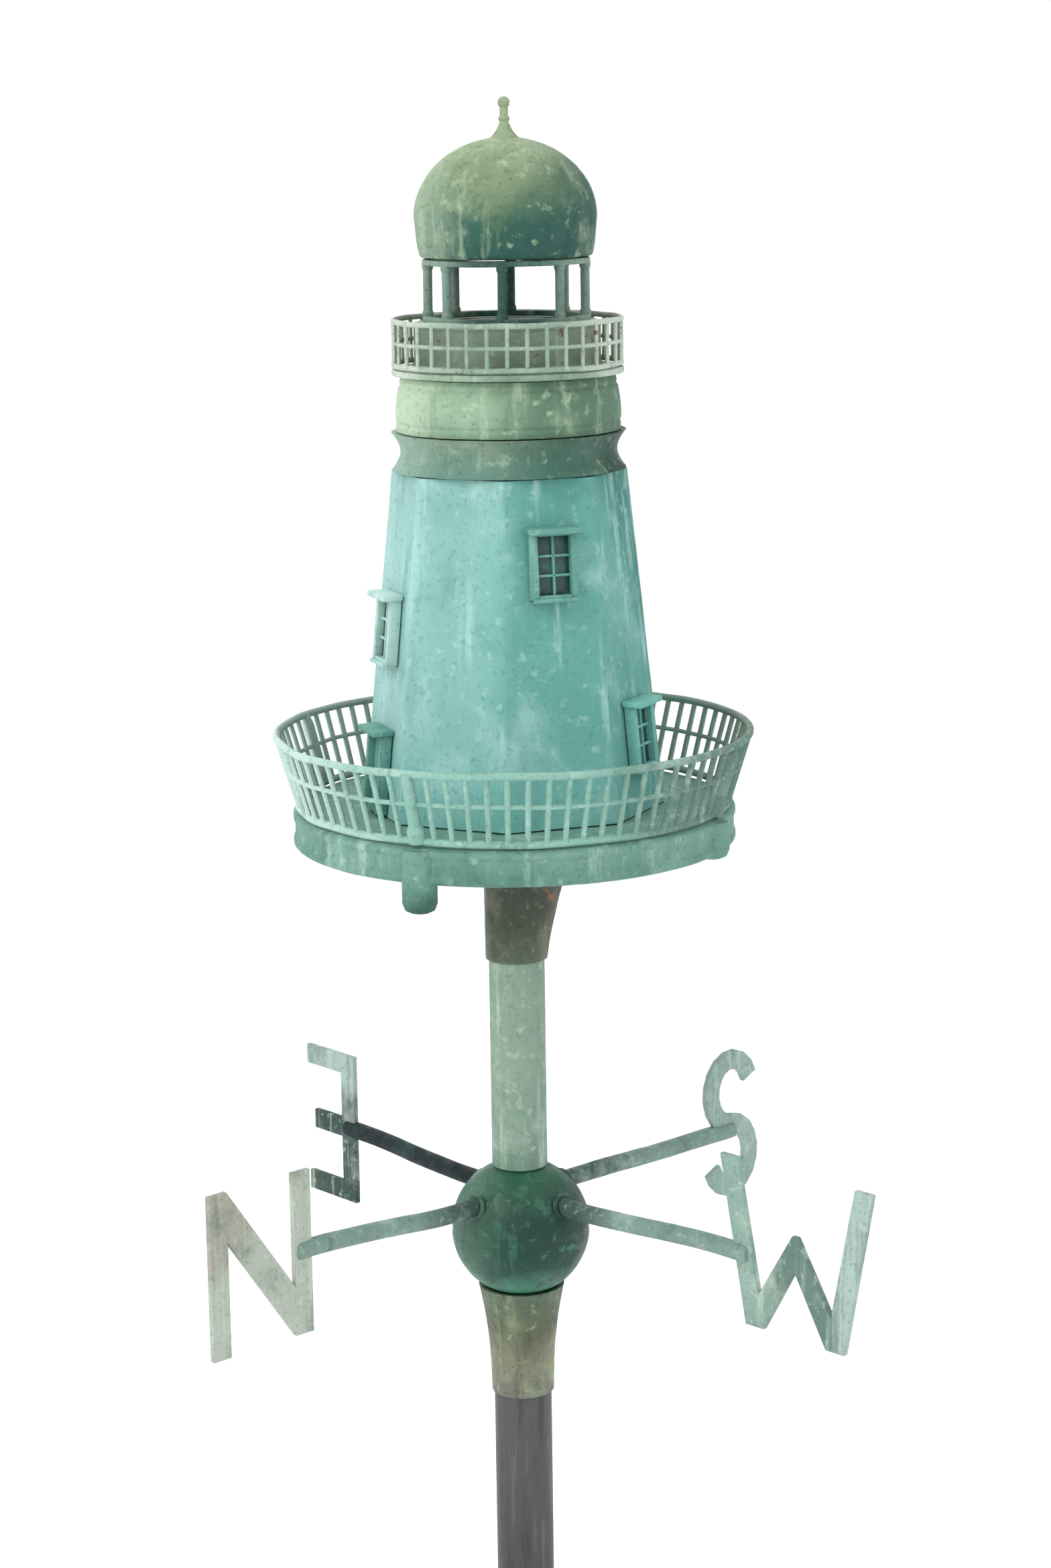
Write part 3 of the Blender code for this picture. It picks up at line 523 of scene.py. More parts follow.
def add_block(shape, size, place, lift=0.0, ease=0.0004):
    """A box with softened edges that stands lift over its wall; returns its faces."""
    before = set(shape.faces)
    centre = (*place, SEAT_GAP + lift + size[2] / 2)
    matrix = Matrix.Translation(centre) @ Matrix.Diagonal((*size, 1))
    cube = bmesh.ops.create_cube(shape, size=1, matrix=matrix)["verts"]
    soften(shape, edges_of(cube), min(ease, min(size) * 0.3))
    return [face for face in shape.faces if face not in before]


def finish_piece(name, shape, material, body, node):
    """Turns a bmesh into a piece that rides on a body and stands for a frame node."""
    bmesh.ops.recalc_face_normals(shape, faces=shape.faces)
    mesh = bpy.data.meshes.new(name)
    shape.to_mesh(mesh)
    shape.free()
    mesh.materials.append(material)
    mesh.shade_smooth()
    mesh.set_sharp_from_angle(angle=SMOOTH_ANGLE)
    piece = bpy.data.objects.new(name, mesh)
    bpy.context.scene.collection.objects.link(piece)
    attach(piece, body)
    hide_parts(node)
    return piece


class WEATHERVANE_OT_rod(bpy.types.Operator):
    """Add the steel rod with its stepped down spindle"""

    bl_idname = "weathervane.rod"
    bl_label = "Mounting Rod"

    def execute(self, context):
        sizes = mast_sizes()
        foot, tip = heights("mounting_rod")
        shoulder = heights("lower_cup")[0] + sizes.socket_depth
        rod, spindle = sizes.rod_radius, sizes.spindle_radius
        chamfer = 0.0008
        profile = [
            (0, tip), (spindle * 0.7, tip), (spindle, tip - spindle * 0.3), (spindle, shoulder),
            (rod, shoulder), (rod, foot + chamfer), (rod - chamfer, foot), (0, foot),
        ]
        shape = spun(stepped(eased(profile, 0.0005), 0.02), 64)
        steel = brushed_steel("rod_steel", foot, shoulder)
        finish_piece("steel_rod", shape, steel, MAST, "mounting_rod")
        return {"FINISHED"}


class WEATHERVANE_OT_lower_cup(bpy.types.Operator):
    """Add the flared cup that holds the ball on the rod"""

    bl_idname = "weathervane.lower_cup"
    bl_label = "Lower Cup"

    def execute(self, context):
        sizes = mast_sizes()
        bottom, top = heights("lower_cup")
        ball = ball_centre()
        outside = flare(sizes.lower_cup_mouth, sizes.lower_cup_neck, top, bottom, 2.2)
        socket, bore, seat_radius = (
            radius + SEAT_GAP for radius in (sizes.rod_radius, sizes.spindle_radius, sizes.ball_radius)
        )
        floor = bottom + sizes.socket_depth + SEAT_GAP
        lip = math.sqrt(seat_radius**2 - (ball - top) ** 2)
        reaches = traced(6, lambda share: bore + (lip - bore) * share)
        seat = [(reach, ball - math.sqrt(seat_radius**2 - reach**2)) for reach in reaches]
        profile = outside + [(socket, bottom), (socket, floor), (bore, floor)] + seat
        shape = spun(eased(profile, 0.0004, closed=True), closed=True)
        dent(shape, 0.00025, 0.009, 1)
        main = banded("lower_cup", (0, 102, 104, 99), (0.3, 116, 118, 99), (0.62, 84, 90, 70),
                      (1, 80, 99, 81))
        copper = patina("lower_cup_copper", main, colours().olive, (40, 44, 32), 0.35, 1.4, 21,
                        rough=(0.4, 0.7), runs=0.3, stains=0.4)
        finish_piece("cup_below_ball", shape, copper, MAST, "lower_cup")
        return {"FINISHED"}


def arm_line(letter, steps=26):
    """The arm's centre line, read from its frame node: level, bent a little, level."""
    places = [vertex.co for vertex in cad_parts[f"arm_{letter}"].data.vertices]
    reaches = [place.xy.length for place in places]
    inner, reach = min(reaches), max(reaches)
    end_band = 0.004
    tips = [place for place, size in zip(places, reaches) if size > reach - end_band]
    roots = [place for place, size in zip(places, reaches) if size < inner + end_band]
    tip, root = (sum(ends, Vector()) / len(ends) for ends in (tips, roots))
    bearing = math.atan2(tip.y, tip.x)
    start = mast_sizes().arm_straight
    end = min(vertex.co.xy.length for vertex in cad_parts[f"letter_{letter}"].data.vertices)

    def risen(share):
        rise = (tip.z - root.z) * share**2 * (3 - 2 * share)
        return polar(start + (end - start) * share, bearing, root.z + rise)

    tail = [polar(reach + change, bearing, tip.z) for change in (-0.0030, -0.0012, -0.0003, 0)]
    return [polar(inner, bearing, root.z), *traced(steps, risen), *tail]


class WEATHERVANE_OT_hub_ball(bpy.types.Operator):
    """Add the ball with its seam and a solder bead round each arm"""

    bl_idname = "weathervane.hub_ball"
    bl_label = "Hub Ball"

    def execute(self, context):
        sizes = mast_sizes()
        centre = ball_centre()
        radius = sizes.ball_radius
        tilt = math.acos((sizes.spindle_radius + SEAT_GAP) / radius)
        seam_depth, seam_width = 0.0004, 0.0011
        bead_reach, bead_wire = sizes.arm_radius + 0.0006, 0.0011

        def outline(share):
            angle = tilt - 2 * tilt * share
            reach = radius - seam_depth * math.exp(-((radius * angle / seam_width) ** 2))
            return reach * math.cos(angle), centre + radius * math.sin(angle)

        shape = spun(traced(56, outline), 80, closed=True)
        dent(shape, 0.0003, 0.012, 4)
        lean = Matrix.Rotation(math.radians(70), 4, "Y")
        for letter in LETTERS:
            root = arm_line(letter)[0]
            bead = bmesh.new()
            add_ring(bead, bead_reach, 0, bead_wire, 28, 8)
            swing = Matrix.Rotation(math.atan2(root.y, root.x), 4, "Z")
            place = Matrix.Translation((math.sqrt(radius**2 - (root.z - centre) ** 2), 0, root.z))
            bmesh.ops.transform(bead, matrix=swing @ place @ lean, verts=bead.verts)
            take_in(shape, bead)
        main = [
            (centre - radius, (68, 128, 107)), (centre - radius * 0.4, (20, 66, 53)),
            (centre + radius * 0.2, (12, 54, 42)), (centre + radius, (44, 88, 70)),
        ]
        # Painted light: the ball's left side is tinted paler, as if lit from the left.
        left = ((76, 116, 98), LEFT, 0.004, 0.024, 0.6)
        verdigris = patina("ball_patina", main, (74, 134, 108), (8, 36, 28), 0.18, 1.3, 31,
                           tints=[left], rough=(0.38, 0.65), runs=0.35)
        finish_piece("ball_of_arms", shape, verdigris, MAST, "hub_ball")
        return {"FINISHED"}


class WEATHERVANE_OT_arms(bpy.types.Operator):
    """Add the four compass arms"""

    bl_idname = "weathervane.arms"
    bl_label = "Compass Arms"

    def execute(self, context):
        radius = mast_sizes().arm_radius
        for i, letter in enumerate(LETTERS):
            points = arm_line(letter)
            radii = [radius] * (len(points) - 3) + [radius * share for share in (0.97, 0.8, 0.45)]
            shape = bmesh.new()
            add_rod(shape, points, radii, 18)
            wander(shape, 0.0004, 0.03, 40 + i)
            dent(shape, 0.0003, 0.007, 50 + i)
            inwards = tuple((points[0] - points[-1]).normalized())
            tones = ((114, 140, 131), (162, 186, 176), (62, 90, 80), 0.25)
            tints = [((34, 60, 52), inwards, -0.072, -0.042, 0.9)]
            if letter == "e":
                tones = ((10, 30, 34), (50, 80, 80), (24, 26, 30), 0.15)
                tints = []
            verdigris = patina(f"arm_{letter}_patina", *tones, 2.0, 60 + i, tints=tints, runs=0.15)
            finish_piece(f"round_arm_{letter}", shape, verdigris, MAST, f"arm_{letter}")
        return {"FINISHED"}


class WEATHERVANE_OT_letters(bpy.types.Operator):
    """Add the four plain compass letters, with worn edges"""

    bl_idname = "weathervane.letters"
    bl_label = "Compass Letters"

    def execute(self, context):
        low, high = heights("letter_e")
        middle = (low + high) / 2
        tones = {
            "n": (166, 176, 164), "e": (84, 107, 101), "s": (136, 160, 152), "w": (130, 158, 147),
        }
        # Tints per letter: the N browner towards its upper left, the E paler at its top and darker over
        # its lower half, the W darker about its middle and paler at its right end.
        worn = {
            "n": [((146, 138, 124), (-1, 0, 1), 0.335, 0.350, 0.6)],
            "e": [((158, 180, 172), UP, high - 0.022, high - 0.010, 0.9),
                  ((36, 60, 54), DOWN, -middle - 0.020, -middle - 0.004, 0.9)],
            "s": [],
            "w": [((60, 90, 80), RIGHT, 0.088, 0.098, 0.65),
                  ((168, 190, 182), RIGHT, 0.112, 0.120, 0.8)],
        }
        for i, letter in enumerate(LETTERS):
            node = f"letter_{letter}"
            shape = bmesh.new()
            shape.from_mesh(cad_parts[node].data)
            bmesh.ops.remove_doubles(shape, verts=shape.verts, dist=1e-5)
            bmesh.ops.dissolve_limit(
                shape, angle_limit=math.radians(2), verts=shape.verts, edges=shape.edges
            )
            rim = [edge for edge in shape.edges if edge.calc_face_angle(0) > math.radians(60)]
            soften(shape, rim, mast_sizes().letter_bevel)
            verdigris = patina(f"{node}_patina", tones[letter], (186, 202, 192), (78, 100, 90), 0.28,
                               1.6, 70 + i, tints=worn[letter], runs=0.6)
            finish_piece(f"plate_{node}", shape, verdigris, MAST, node)
        return {"FINISHED"}


class WEATHERVANE_OT_sleeve(bpy.types.Operator):
    """Add the pale tube that turns on the spindle"""

    bl_idname = "weathervane.sleeve"
    bl_label = "Sleeve Tube"

    def execute(self, context):
        bottom, top = heights("sleeve_tube")
        radius = vane_sizes().sleeve_radius
        bore = mast_sizes().spindle_radius + BORE_GAP
        profile = [(radius, top), (radius, bottom), (bore, bottom), (bore, top)]
        shape = spun(stepped(eased(profile, 0.0003, closed=True), 0.004), 56, closed=True)
        dent(shape, 0.0002, 0.010, 81)
        pale = colours().pale_green
        main = [(bottom, (104, 132, 116)), (bottom + 0.04, pale), (top, pale)]
        verdigris = patina("sleeve_patina", main, (176, 194, 182), (90, 116, 100), 0.22, 1.2, 82,
                           runs=0.7, stains=0.6)
        finish_piece("pale_sleeve", shape, verdigris, VANE, "sleeve_tube")
        return {"FINISHED"}


class WEATHERVANE_OT_upper_cup(bpy.types.Operator):
    """Add the cup under the platform, whose mouth leans to one side"""

    bl_idname = "weathervane.upper_cup"
    bl_label = "Upper Cup"

    def execute(self, context):
        sizes = vane_sizes()
        bottom, top = heights("upper_cup")
        bore = sizes.sleeve_radius + SEAT_GAP
        curve = 1.3
        outside = flare(sizes.upper_cup_mouth, sizes.upper_cup_neck, top, bottom, curve)
        lip = sizes.upper_cup_mouth + sizes.upper_cup_lip
        rolled = [(lip, top), (lip, top - 1.6 * sizes.upper_cup_lip)]
        profile = rolled + outside[1:] + [(bore, bottom), (bore, top)]
        shape = spun(eased(profile, 0.0003, closed=True), closed=True)
        for vertex in shape.verts:
            if vertex.co.xy.length > bore + 0.0001:
                share = max(0.0, (vertex.co.z - bottom) / (top - bottom))
                vertex.co.x += sizes.upper_cup_lean * share**curve
        dent(shape, 0.00025, 0.009, 91)
        main = banded("upper_cup", (0, 80, 92, 76), (0.4, 62, 68, 55), (1, 44, 55, 47))
        copper = patina("upper_cup_copper", main, (128, 134, 108), (26, 26, 20), 0.4, 1.4, 92,
                        rough=(0.4, 0.7), runs=0.3)
        finish_piece("cup_under_platform", shape, copper, VANE, "upper_cup")
        return {"FINISHED"}


class WEATHERVANE_OT_platform(bpy.types.Operator):
    """Add the round platform with its bosses"""

    bl_idname = "weathervane.platform"
    bl_label = "Platform"

    def execute(self, context):
        sizes = vane_sizes()
        deck = heights("platform")[1]
        under = heights("upper_cup")[1] + SEAT_GAP
        radius = sizes.platform_radius
        bead, recess = 0.0026, 0.0007
        profile = [
            (0, deck), (radius - bead, deck), (radius, deck - bead * 0.5),
            (radius, deck - bead * 1.3), (radius - recess, deck - bead * 1.7),
            (radius - recess, under + bead * 1.7), (radius, under + bead * 1.3),
            (radius, under + bead * 0.5), (radius - bead, under), (0, under),
        ]
        shape = spun(stepped(eased(profile, 0.0012), 0.006), 120)
        widths = [sizes.boss_radius * share for share in (0.9, 1.0, 1.0, 0.85, 0.55, 0.2)]
        sunk, slight_drop = 0.0010, 0.0012
        high = deck - sunk
        for i in range(NEWEL_POSTS):
            low = under - (sizes.boss_drop if i == 0 else slight_drop)
            bearing = FRONT + sizes.railing_turn + math.tau * i / NEWEL_POSTS
            levels = [high, high - 0.0015, low + 0.0040, low + 0.0014, low + 0.0003, low]
            line = [polar(radius - sizes.boss_radius / 2, bearing, level) for level in levels]
            add_rod(shape, line, widths, 24)
        dent(shape, 0.00035, 0.016, 101)
        main = [
            (under - sizes.boss_drop, (42, 84, 72)), (under, (90, 133, 119)), (deck, (106, 147, 135)),
        ]
        verdigris = patina("platform_patina", main, (158, 192, 180), (50, 98, 84), 0.28, 1.0, 102,
                           runs=0.6)
        finish_piece("beaded_platform", shape, verdigris, VANE, "platform")
        return {"FINISHED"}


class WEATHERVANE_OT_platform_railing(bpy.types.Operator):
    """Add the platform's flared railing of wire pickets"""

    bl_idname = "weathervane.platform_railing"
    bl_label = "Platform Railing"

    def execute(self, context):
        sizes = vane_sizes()
        bottom, top = heights("platform_railing")
        wire = sizes.railing_wire
        foot = Vector((sizes.railing_foot, bottom + wire))
        rail = Vector((sizes.railing_top, top - wire))
        shape = bmesh.new()
        for share, thick, sides in ((0, 1, 10), (1, 1, 10), (0.55, 0.6, 8)):
            add_ring(shape, *foot.lerp(rail, share), wire * thick, 120, sides)
        newel = [sizes.newel_radius * share for share in (1, 1, 0.7, 0.7, 0.5)]
        for i in range(sizes.pickets):
            bearing = FRONT + sizes.railing_turn + math.tau * i / sizes.pickets
            low, high = (polar(end.x, bearing, end.y) for end in (foot, rail))
            if i % (sizes.pickets // NEWEL_POSTS) == 0:
                line = [low.lerp(high, share) for share in (0, 0.16, 0.24, 0.85, 1)]
                add_rod(shape, line, newel, 16)
            else:
                add_rod(shape, [low, high], [sizes.picket_wire] * 2, 8)
        wander(shape, 0.0005, 0.022, 111)
        # Painted light and shade: the railing's left side is tinted paler and its right side darker, as
        # if lit from the left.
        left = ((196, 218, 210), LEFT, 0.045, 0.085, 0.8)
        right = ((84, 106, 96), (1, -0.3, 0), 0.050, 0.085, 0.8)
        verdigris = patina("railing_patina", (130, 175, 162), (178, 208, 198), (70, 112, 98), 0.3, 2.0,
                           112, inner=(120, 128, 118), tints=[left, right], runs=0.3)
        finish_piece("wire_railing", shape, verdigris, VANE, "platform_railing")
        return {"FINISHED"}


def tower_rings():
    """Foot and top of the tower as (height, corner radius)."""
    places = [vertex.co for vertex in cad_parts["tower"].data.vertices]
    return [
        (level, max(place.xy.length for place in places if abs(place.z - level) < 0.001))
        for level in heights("tower")
    ]


def rise_of(edge):
    return abs(edge.verts[0].co.z - edge.verts[1].co.z)


class WEATHERVANE_OT_tower(bpy.types.Operator):
    """Add the tapered eight-sided tower with hammered sides"""

    bl_idname = "weathervane.tower"
    bl_label = "Tower"

    def execute(self, context):
        (low, foot), (high, top) = tower_rings()
        shape = bmesh.new()
        bmesh.ops.create_cone(
            shape, cap_ends=True, segments=TOWER_SIDES, radius1=foot, radius2=top, depth=high - low
        )
        turn = Matrix.Rotation(vane_sizes().tower_turn, 4, "Z")
        place = Matrix.Translation((0, 0, (low + high) / 2))
        bmesh.ops.transform(shape, matrix=place @ turn, verts=shape.verts)
        tall, flat, wide = 0.05, 1e-4, 0.02
        soften(shape, [edge for edge in shape.edges if rise_of(edge) > tall], 0.0011)
        upright = [edge for edge in shape.edges if rise_of(edge) > tall]
        bmesh.ops.subdivide_edges(shape, edges=upright, cuts=47, use_grid_fill=True)
        level = [edge for edge in shape.edges if rise_of(edge) < flat and edge.calc_length() > wide]
        bmesh.ops.subdivide_edges(shape, edges=level, cuts=11, use_grid_fill=True)
        dent(shape, 0.00045, 0.018, 121)
        tints = colours()
        main = [
            (low, (112, 172, 166)), (low + 0.03, tints.turquoise),
            (high - 0.02, (124, 175, 169)), (high, (113, 161, 154)),
        ]
        # Painted light and shade: the tower's right side is tinted darker and its left side paler, as if
        # lit from the left; the last tint darkens the top right edges as painted shade.
        right = ((79, 148, 139), (1.0, -0.25, 0.0), -0.004, 0.022, 0.75)
        left = ((160, 195, 192), LEFT, 0.024, 0.048, 0.55)
        # The next tint lays the foot's own colour back over the side tints, so their painted light and
        # shade fade out towards the foot.
        even_foot = ((110, 174, 167), DOWN, -low - 0.044, -low - 0.008, 0.8)
        corner = ((44, 112, 102), (1.0, 0.0, 0.25), 0.158, 0.170, 0.85)
        verdigris = patina("tower_patina", main, tints.turquoise_light, tints.turquoise_deep, 0.16,
                           1.0, 122, tints=[right, left, even_foot, corner], runs=0.65)
        finish_piece("hammered_tower", shape, verdigris, VANE, "tower")
        return {"FINISHED"}


def tower_face(side, share):
    """The frame of a tower face at a share of its height: X across, Y up it, Z out of it."""
    (low, foot), (high, top) = tower_rings()
    inner = math.cos(math.pi / TOWER_SIDES)
    circle = foot + (top - foot) * share
    bearing = FRONT + vane_sizes().tower_turn + (side + 0.5) * math.tau / TOWER_SIDES
    lean = math.atan((foot - top) * inner / (high - low))
    out = polar(math.cos(lean), bearing, math.sin(lean))
    across = Vector(UP).cross(out).normalized()
    turn = Matrix((across, out.cross(across), out)).transposed().to_4x4()
    return Matrix.Translation(polar(circle * inner, bearing, low + (high - low) * share)) @ turn


def add_surround(shape, width, tall, sizes):
    """The stiles and the sloping hood of a window or a door."""
    rim, depth = sizes.window_frame, sizes.window_depth
    for sign in (-1, 1):
        add_block(shape, (rim, tall + 2 * rim, depth), (sign * (width + rim) / 2, 0))
    size = (width + 3 * rim, rim * 0.8, depth + sizes.hood_rise)
    hood = add_block(shape, size, (0, tall / 2 + rim))
    for vertex in {vertex for face in hood for vertex in face.verts}:
        vertex.co.y -= max(0.0, vertex.co.z - SEAT_GAP) * HOOD_SLOPE


def add_window(shape, width, tall, sizes):
    """A surround with rails, glazing bars and a sill; returns the pane's faces."""
    rim, depth = sizes.window_frame, sizes.window_depth
    add_surround(shape, width, tall, sizes)
    for sign in (-1, 1):
        add_block(shape, (width, rim, depth), (0, sign * (tall + rim) / 2))
    set_back, bar = depth * 0.35, 0.0010
    pane = add_block(shape, (width, tall, set_back), (0, 0), ease=0.0001)
    add_block(shape, (bar, tall, depth * 0.3), (0, 0), set_back, 0.0002)
    for sign in (-1, 1):
        add_block(shape, (width, bar, depth * 0.3), (0, sign * tall / 6), set_back, 0.0002)
    add_block(shape, (width + 2 * rim, rim * 0.6, depth + 0.0012), (0, -tall / 2 - rim * 0.75))
    return pane


def add_door(shape, width, tall, sizes):
    """A surround with a head, a threshold and three boards; returns no pane."""
    rim, depth = sizes.window_frame, sizes.window_depth
    add_surround(shape, width, tall, sizes)
    add_block(shape, (width, rim, depth), (0, (tall + rim) / 2))
    add_block(shape, (width, rim, depth * 0.8), (0, -(tall + rim) / 2))
    board = width / 3
    for i in (-1, 0, 1):
        add_block(shape, (board * 0.94, tall, depth * 0.4), (i * board, 0))
    return []


OPENINGS = {
    "window_front": ("glazed_window_front", 0, 0.756, 0.013, 0.022, add_window),
    "window_left": ("glazed_window_left", -2, 0.545, 0.013, 0.022, add_window),
    "window_right": ("glazed_window_right", 1, 0.229, 0.013, 0.022, add_window),
    "tower_door": ("boarded_door", -2, 0.129, 0.013, 0.027, add_door),
}


class WEATHERVANE_OT_windows(bpy.types.Operator):
    """Add the three windows and the door on the tower's faces"""

    bl_idname = "weathervane.windows"
    bl_label = "Windows and Door"

    def execute(self, context):
        dark = patina("window_patina", (92, 148, 138), (144, 188, 180), (44, 84, 76), 0.3, 2.0, 131,
                      runs=0.4)
        teal = patina("teal_window_patina", (110, 176, 168), (150, 202, 194), (58, 112, 104), 0.25,
                      2.0, 135, runs=0.4)
        # Painted light: a paler copy of the window finish, for the window on the lit left side.
        pale = patina("lit_side_window_patina", (164, 200, 194), (196, 220, 214), (96, 140, 130), 0.25,
                      2.0, 133, runs=0.4)
        panes = pane_material()
        for node, (name, side, share, width, tall, build) in OPENINGS.items():
            shape = bmesh.new()
            for face in build(shape, width, tall, vane_sizes()):
                face.material_index = 1
            bmesh.ops.transform(shape, matrix=tower_face(side, share), verts=shape.verts)
            verdigris = {"window_left": pale, "window_right": teal}.get(node, dark)
            piece = finish_piece(name, shape, verdigris, VANE, node)
            piece.data.materials.append(panes)
        return {"FINISHED"}


class WEATHERVANE_OT_mouldings(bpy.types.Operator):
    """Add the hollow collar and the pale cornice over the tower"""

    bl_idname = "weathervane.mouldings"
    bl_label = "Collar and Cornice"

    def execute(self, context):
        sizes = lantern_sizes()
        collar_low, collar_high = heights("tower_collar")
        rim = half_width("tower_collar")

        def hollow(share):
            sunk = (rim - sizes.collar_waist) * math.sin(math.pi * share)
            return rim - sunk, collar_high - (collar_high - collar_low) * share

        shape = spun(stepped(capped(traced(22, hollow)), 0.006), 96)
        dent(shape, 0.0003, 0.012, 141)
        main = banded("tower_collar", (0, 88, 128, 115), (0.5, 94, 127, 113), (1, 122, 144, 124))
        # Painted light and shade: the collar is tinted darker on the right, darkest at its right edge,
        # and paler on the left, as if lit from the left.
        tints = [
            ((46, 86, 74), (1.0, -0.2, 0.0), -0.004, 0.030, 0.8),
            ((150, 180, 168), LEFT, 0.022, 0.044, 0.6), ((24, 58, 48), RIGHT, 0.028, 0.042, 0.85),
        ]
        verdigris = patina("collar_patina", main, (150, 176, 154), (52, 86, 74), 0.3, 1.3, 142,
                           tints=tints)
        finish_piece("hollow_collar", shape, verdigris, VANE, "tower_collar")

        low, high = heights("cornice")
        bulge, groove = 0.0010, 0.0005

        def swollen(share):
            radius = sizes.cornice_top + (sizes.cornice_foot - sizes.cornice_top) * share
            radius += bulge * math.sin(math.pi * share)
            for line in (0.16, 0.84):
                radius -= groove * math.exp(-(((share - line) / 0.03) ** 2))
            return radius, high - (high - low) * share

        shape = spun(stepped(capped(traced(44, swollen)), 0.006), 96)
        dent(shape, 0.0003, 0.014, 143)
        main = banded("cornice", (0, 114, 146, 122), (0.5, 138, 168, 142), (1, 118, 144, 118))
        # Painted light and shade: the cornice is tinted darker on the right and paler on the left, as if
        # lit from the left.
        tints = [
            ((62, 96, 76), (1.0, -0.2, 0.0), -0.004, 0.026, 0.8),
            ((186, 204, 180), LEFT, 0.020, 0.042, 0.7),
        ]
        verdigris = patina("cornice_patina", main, (176, 200, 172), (82, 110, 86), 0.3, 1.2, 144,
                           tints=tints)
        finish_piece("grooved_cornice", shape, verdigris, VANE, "cornice")
        return {"FINISHED"}


class WEATHERVANE_OT_gallery(bpy.types.Operator):
    """Add the gallery deck and the lantern's drum"""

    bl_idname = "weathervane.gallery"
    bl_label = "Gallery Deck and Drum"

    def execute(self, context):
        low, high = heights("gallery_deck")
        radius = half_width("gallery_deck")
        profile = capped([(radius, high), (radius, low)])
        shape = spun(stepped(eased(profile, 0.0009), 0.005), 96)
        dent(shape, 0.0002, 0.012, 151)
        # Painted light: both outer edges of the deck are tinted paler.
        verdigris = patina("deck_patina", (122, 148, 128), (168, 190, 170), (76, 96, 80), 0.4, 1.4,
                           152, tints=both_sides((196, 208, 196), 0.024, 0.042, 0.8))
        finish_piece("rounded_gallery_deck", shape, verdigris, VANE, "gallery_deck")
        low, high = heights("lantern_drum")
        radius = half_width("lantern_drum")
        lip = 0.0012
        wall = radius - lip / 2
        profile = capped([
            (radius, high), (radius, high - lip), (wall, high - lip * 1.6), (wall, low + lip * 1.6),
            (radius, low + lip), (radius, low),
        ])
        shape = spun(stepped(eased(profile, 0.0005), 0.004), 96)
        dent(shape, 0.00025, 0.010, 153)
        main = banded("lantern_drum", (0, 106, 124, 106), (1, 124, 142, 124))
        verdigris = patina("drum_patina", main, (164, 182, 160), (70, 82, 68), 0.5, 1.3, 154)
        finish_piece("lipped_drum", shape, verdigris, VANE, "lantern_drum")
        return {"FINISHED"}


class WEATHERVANE_OT_gallery_railing(bpy.types.Operator):
    """Add the light railing round the gallery"""

    bl_idname = "weathervane.gallery_railing"
    bl_label = "Gallery Railing"

    def execute(self, context):
        sizes = lantern_sizes()
        bottom, top = heights("gallery_railing")
        wire = sizes.gallery_wire
        foot, rail = bottom + wire, top - wire
        shape = bmesh.new()
        for level, thick in ((foot, wire), ((foot + rail) / 2, wire * 0.7), (rail, wire)):
            add_ring(shape, sizes.gallery_rail, level, thick, sides=8)
        for i in range(sizes.gallery_pickets):
            bearing = math.tau * i / sizes.gallery_pickets
            ends = [polar(sizes.gallery_rail, bearing, level) for level in (foot, rail)]
            add_rod(shape, ends, [sizes.gallery_picket] * 2, 8)
        wander(shape, 0.0003, 0.014, 161)
        # Painted light: both outer edges of the gallery railing are tinted paler.
        verdigris = patina("gallery_rail_patina", (134, 158, 142), (180, 196, 182), (84, 98, 84), 0.4,
                           2.2, 162, inner=(126, 132, 118),
                           tints=both_sides((192, 204, 192), 0.018, 0.038, 0.75))
        finish_piece("wire_gallery_railing", shape, verdigris, VANE,
                     "gallery_railing")
        return {"FINISHED"}


class WEATHERVANE_OT_lantern(bpy.types.Operator):
    """Add the open lantern of eight posts"""

    bl_idname = "weathervane.lantern"
    bl_label = "Lantern"

    def execute(self, context):
        sizes = lantern_sizes()
        low, high = heights("lantern_frame")
        radius = half_width("lantern_frame")
        inside = radius - 2 * sizes.lantern_post
        ring = sizes.lantern_ring
        shape = bmesh.new()
        for bottom in (low, high - ring):
            top = bottom + ring
            profile = [(radius, top), (radius, bottom), (inside, bottom), (inside, top)]
            take_in(shape, spun(eased(profile, 0.0006, closed=True), 96, closed=True))
        foot, block = sizes.lantern_post * 1.05, (ring * 0.5, ring + 0.0012, ring + 0.0022)
        levels = [low + rise for rise in block] + [high - rise for rise in reversed(block)]
        widths = [foot * share for share in (1.05, 1.05, 0.85, 0.85, 1.05, 1.05)]
        for i in range(LANTERN_POSTS):
            bearing = FRONT + vane_sizes().tower_turn + math.tau * i / LANTERN_POSTS
            line = [polar(radius - sizes.lantern_post, bearing, level) for level in levels]
            add_rod(shape, line, widths, 14)
        wander(shape, 0.0002, 0.02, 171)
        # Painted light: both outer edges of the lantern are tinted paler.
        verdigris = patina("lantern_patina", (42, 76, 68), (104, 138, 126), (40, 56, 50), 0.25, 1.8,
                           172, tints=both_sides((140, 164, 150), 0.010, 0.027, 0.75))
        finish_piece("open_lantern", shape, verdigris, VANE, "lantern_frame")
        return {"FINISHED"}


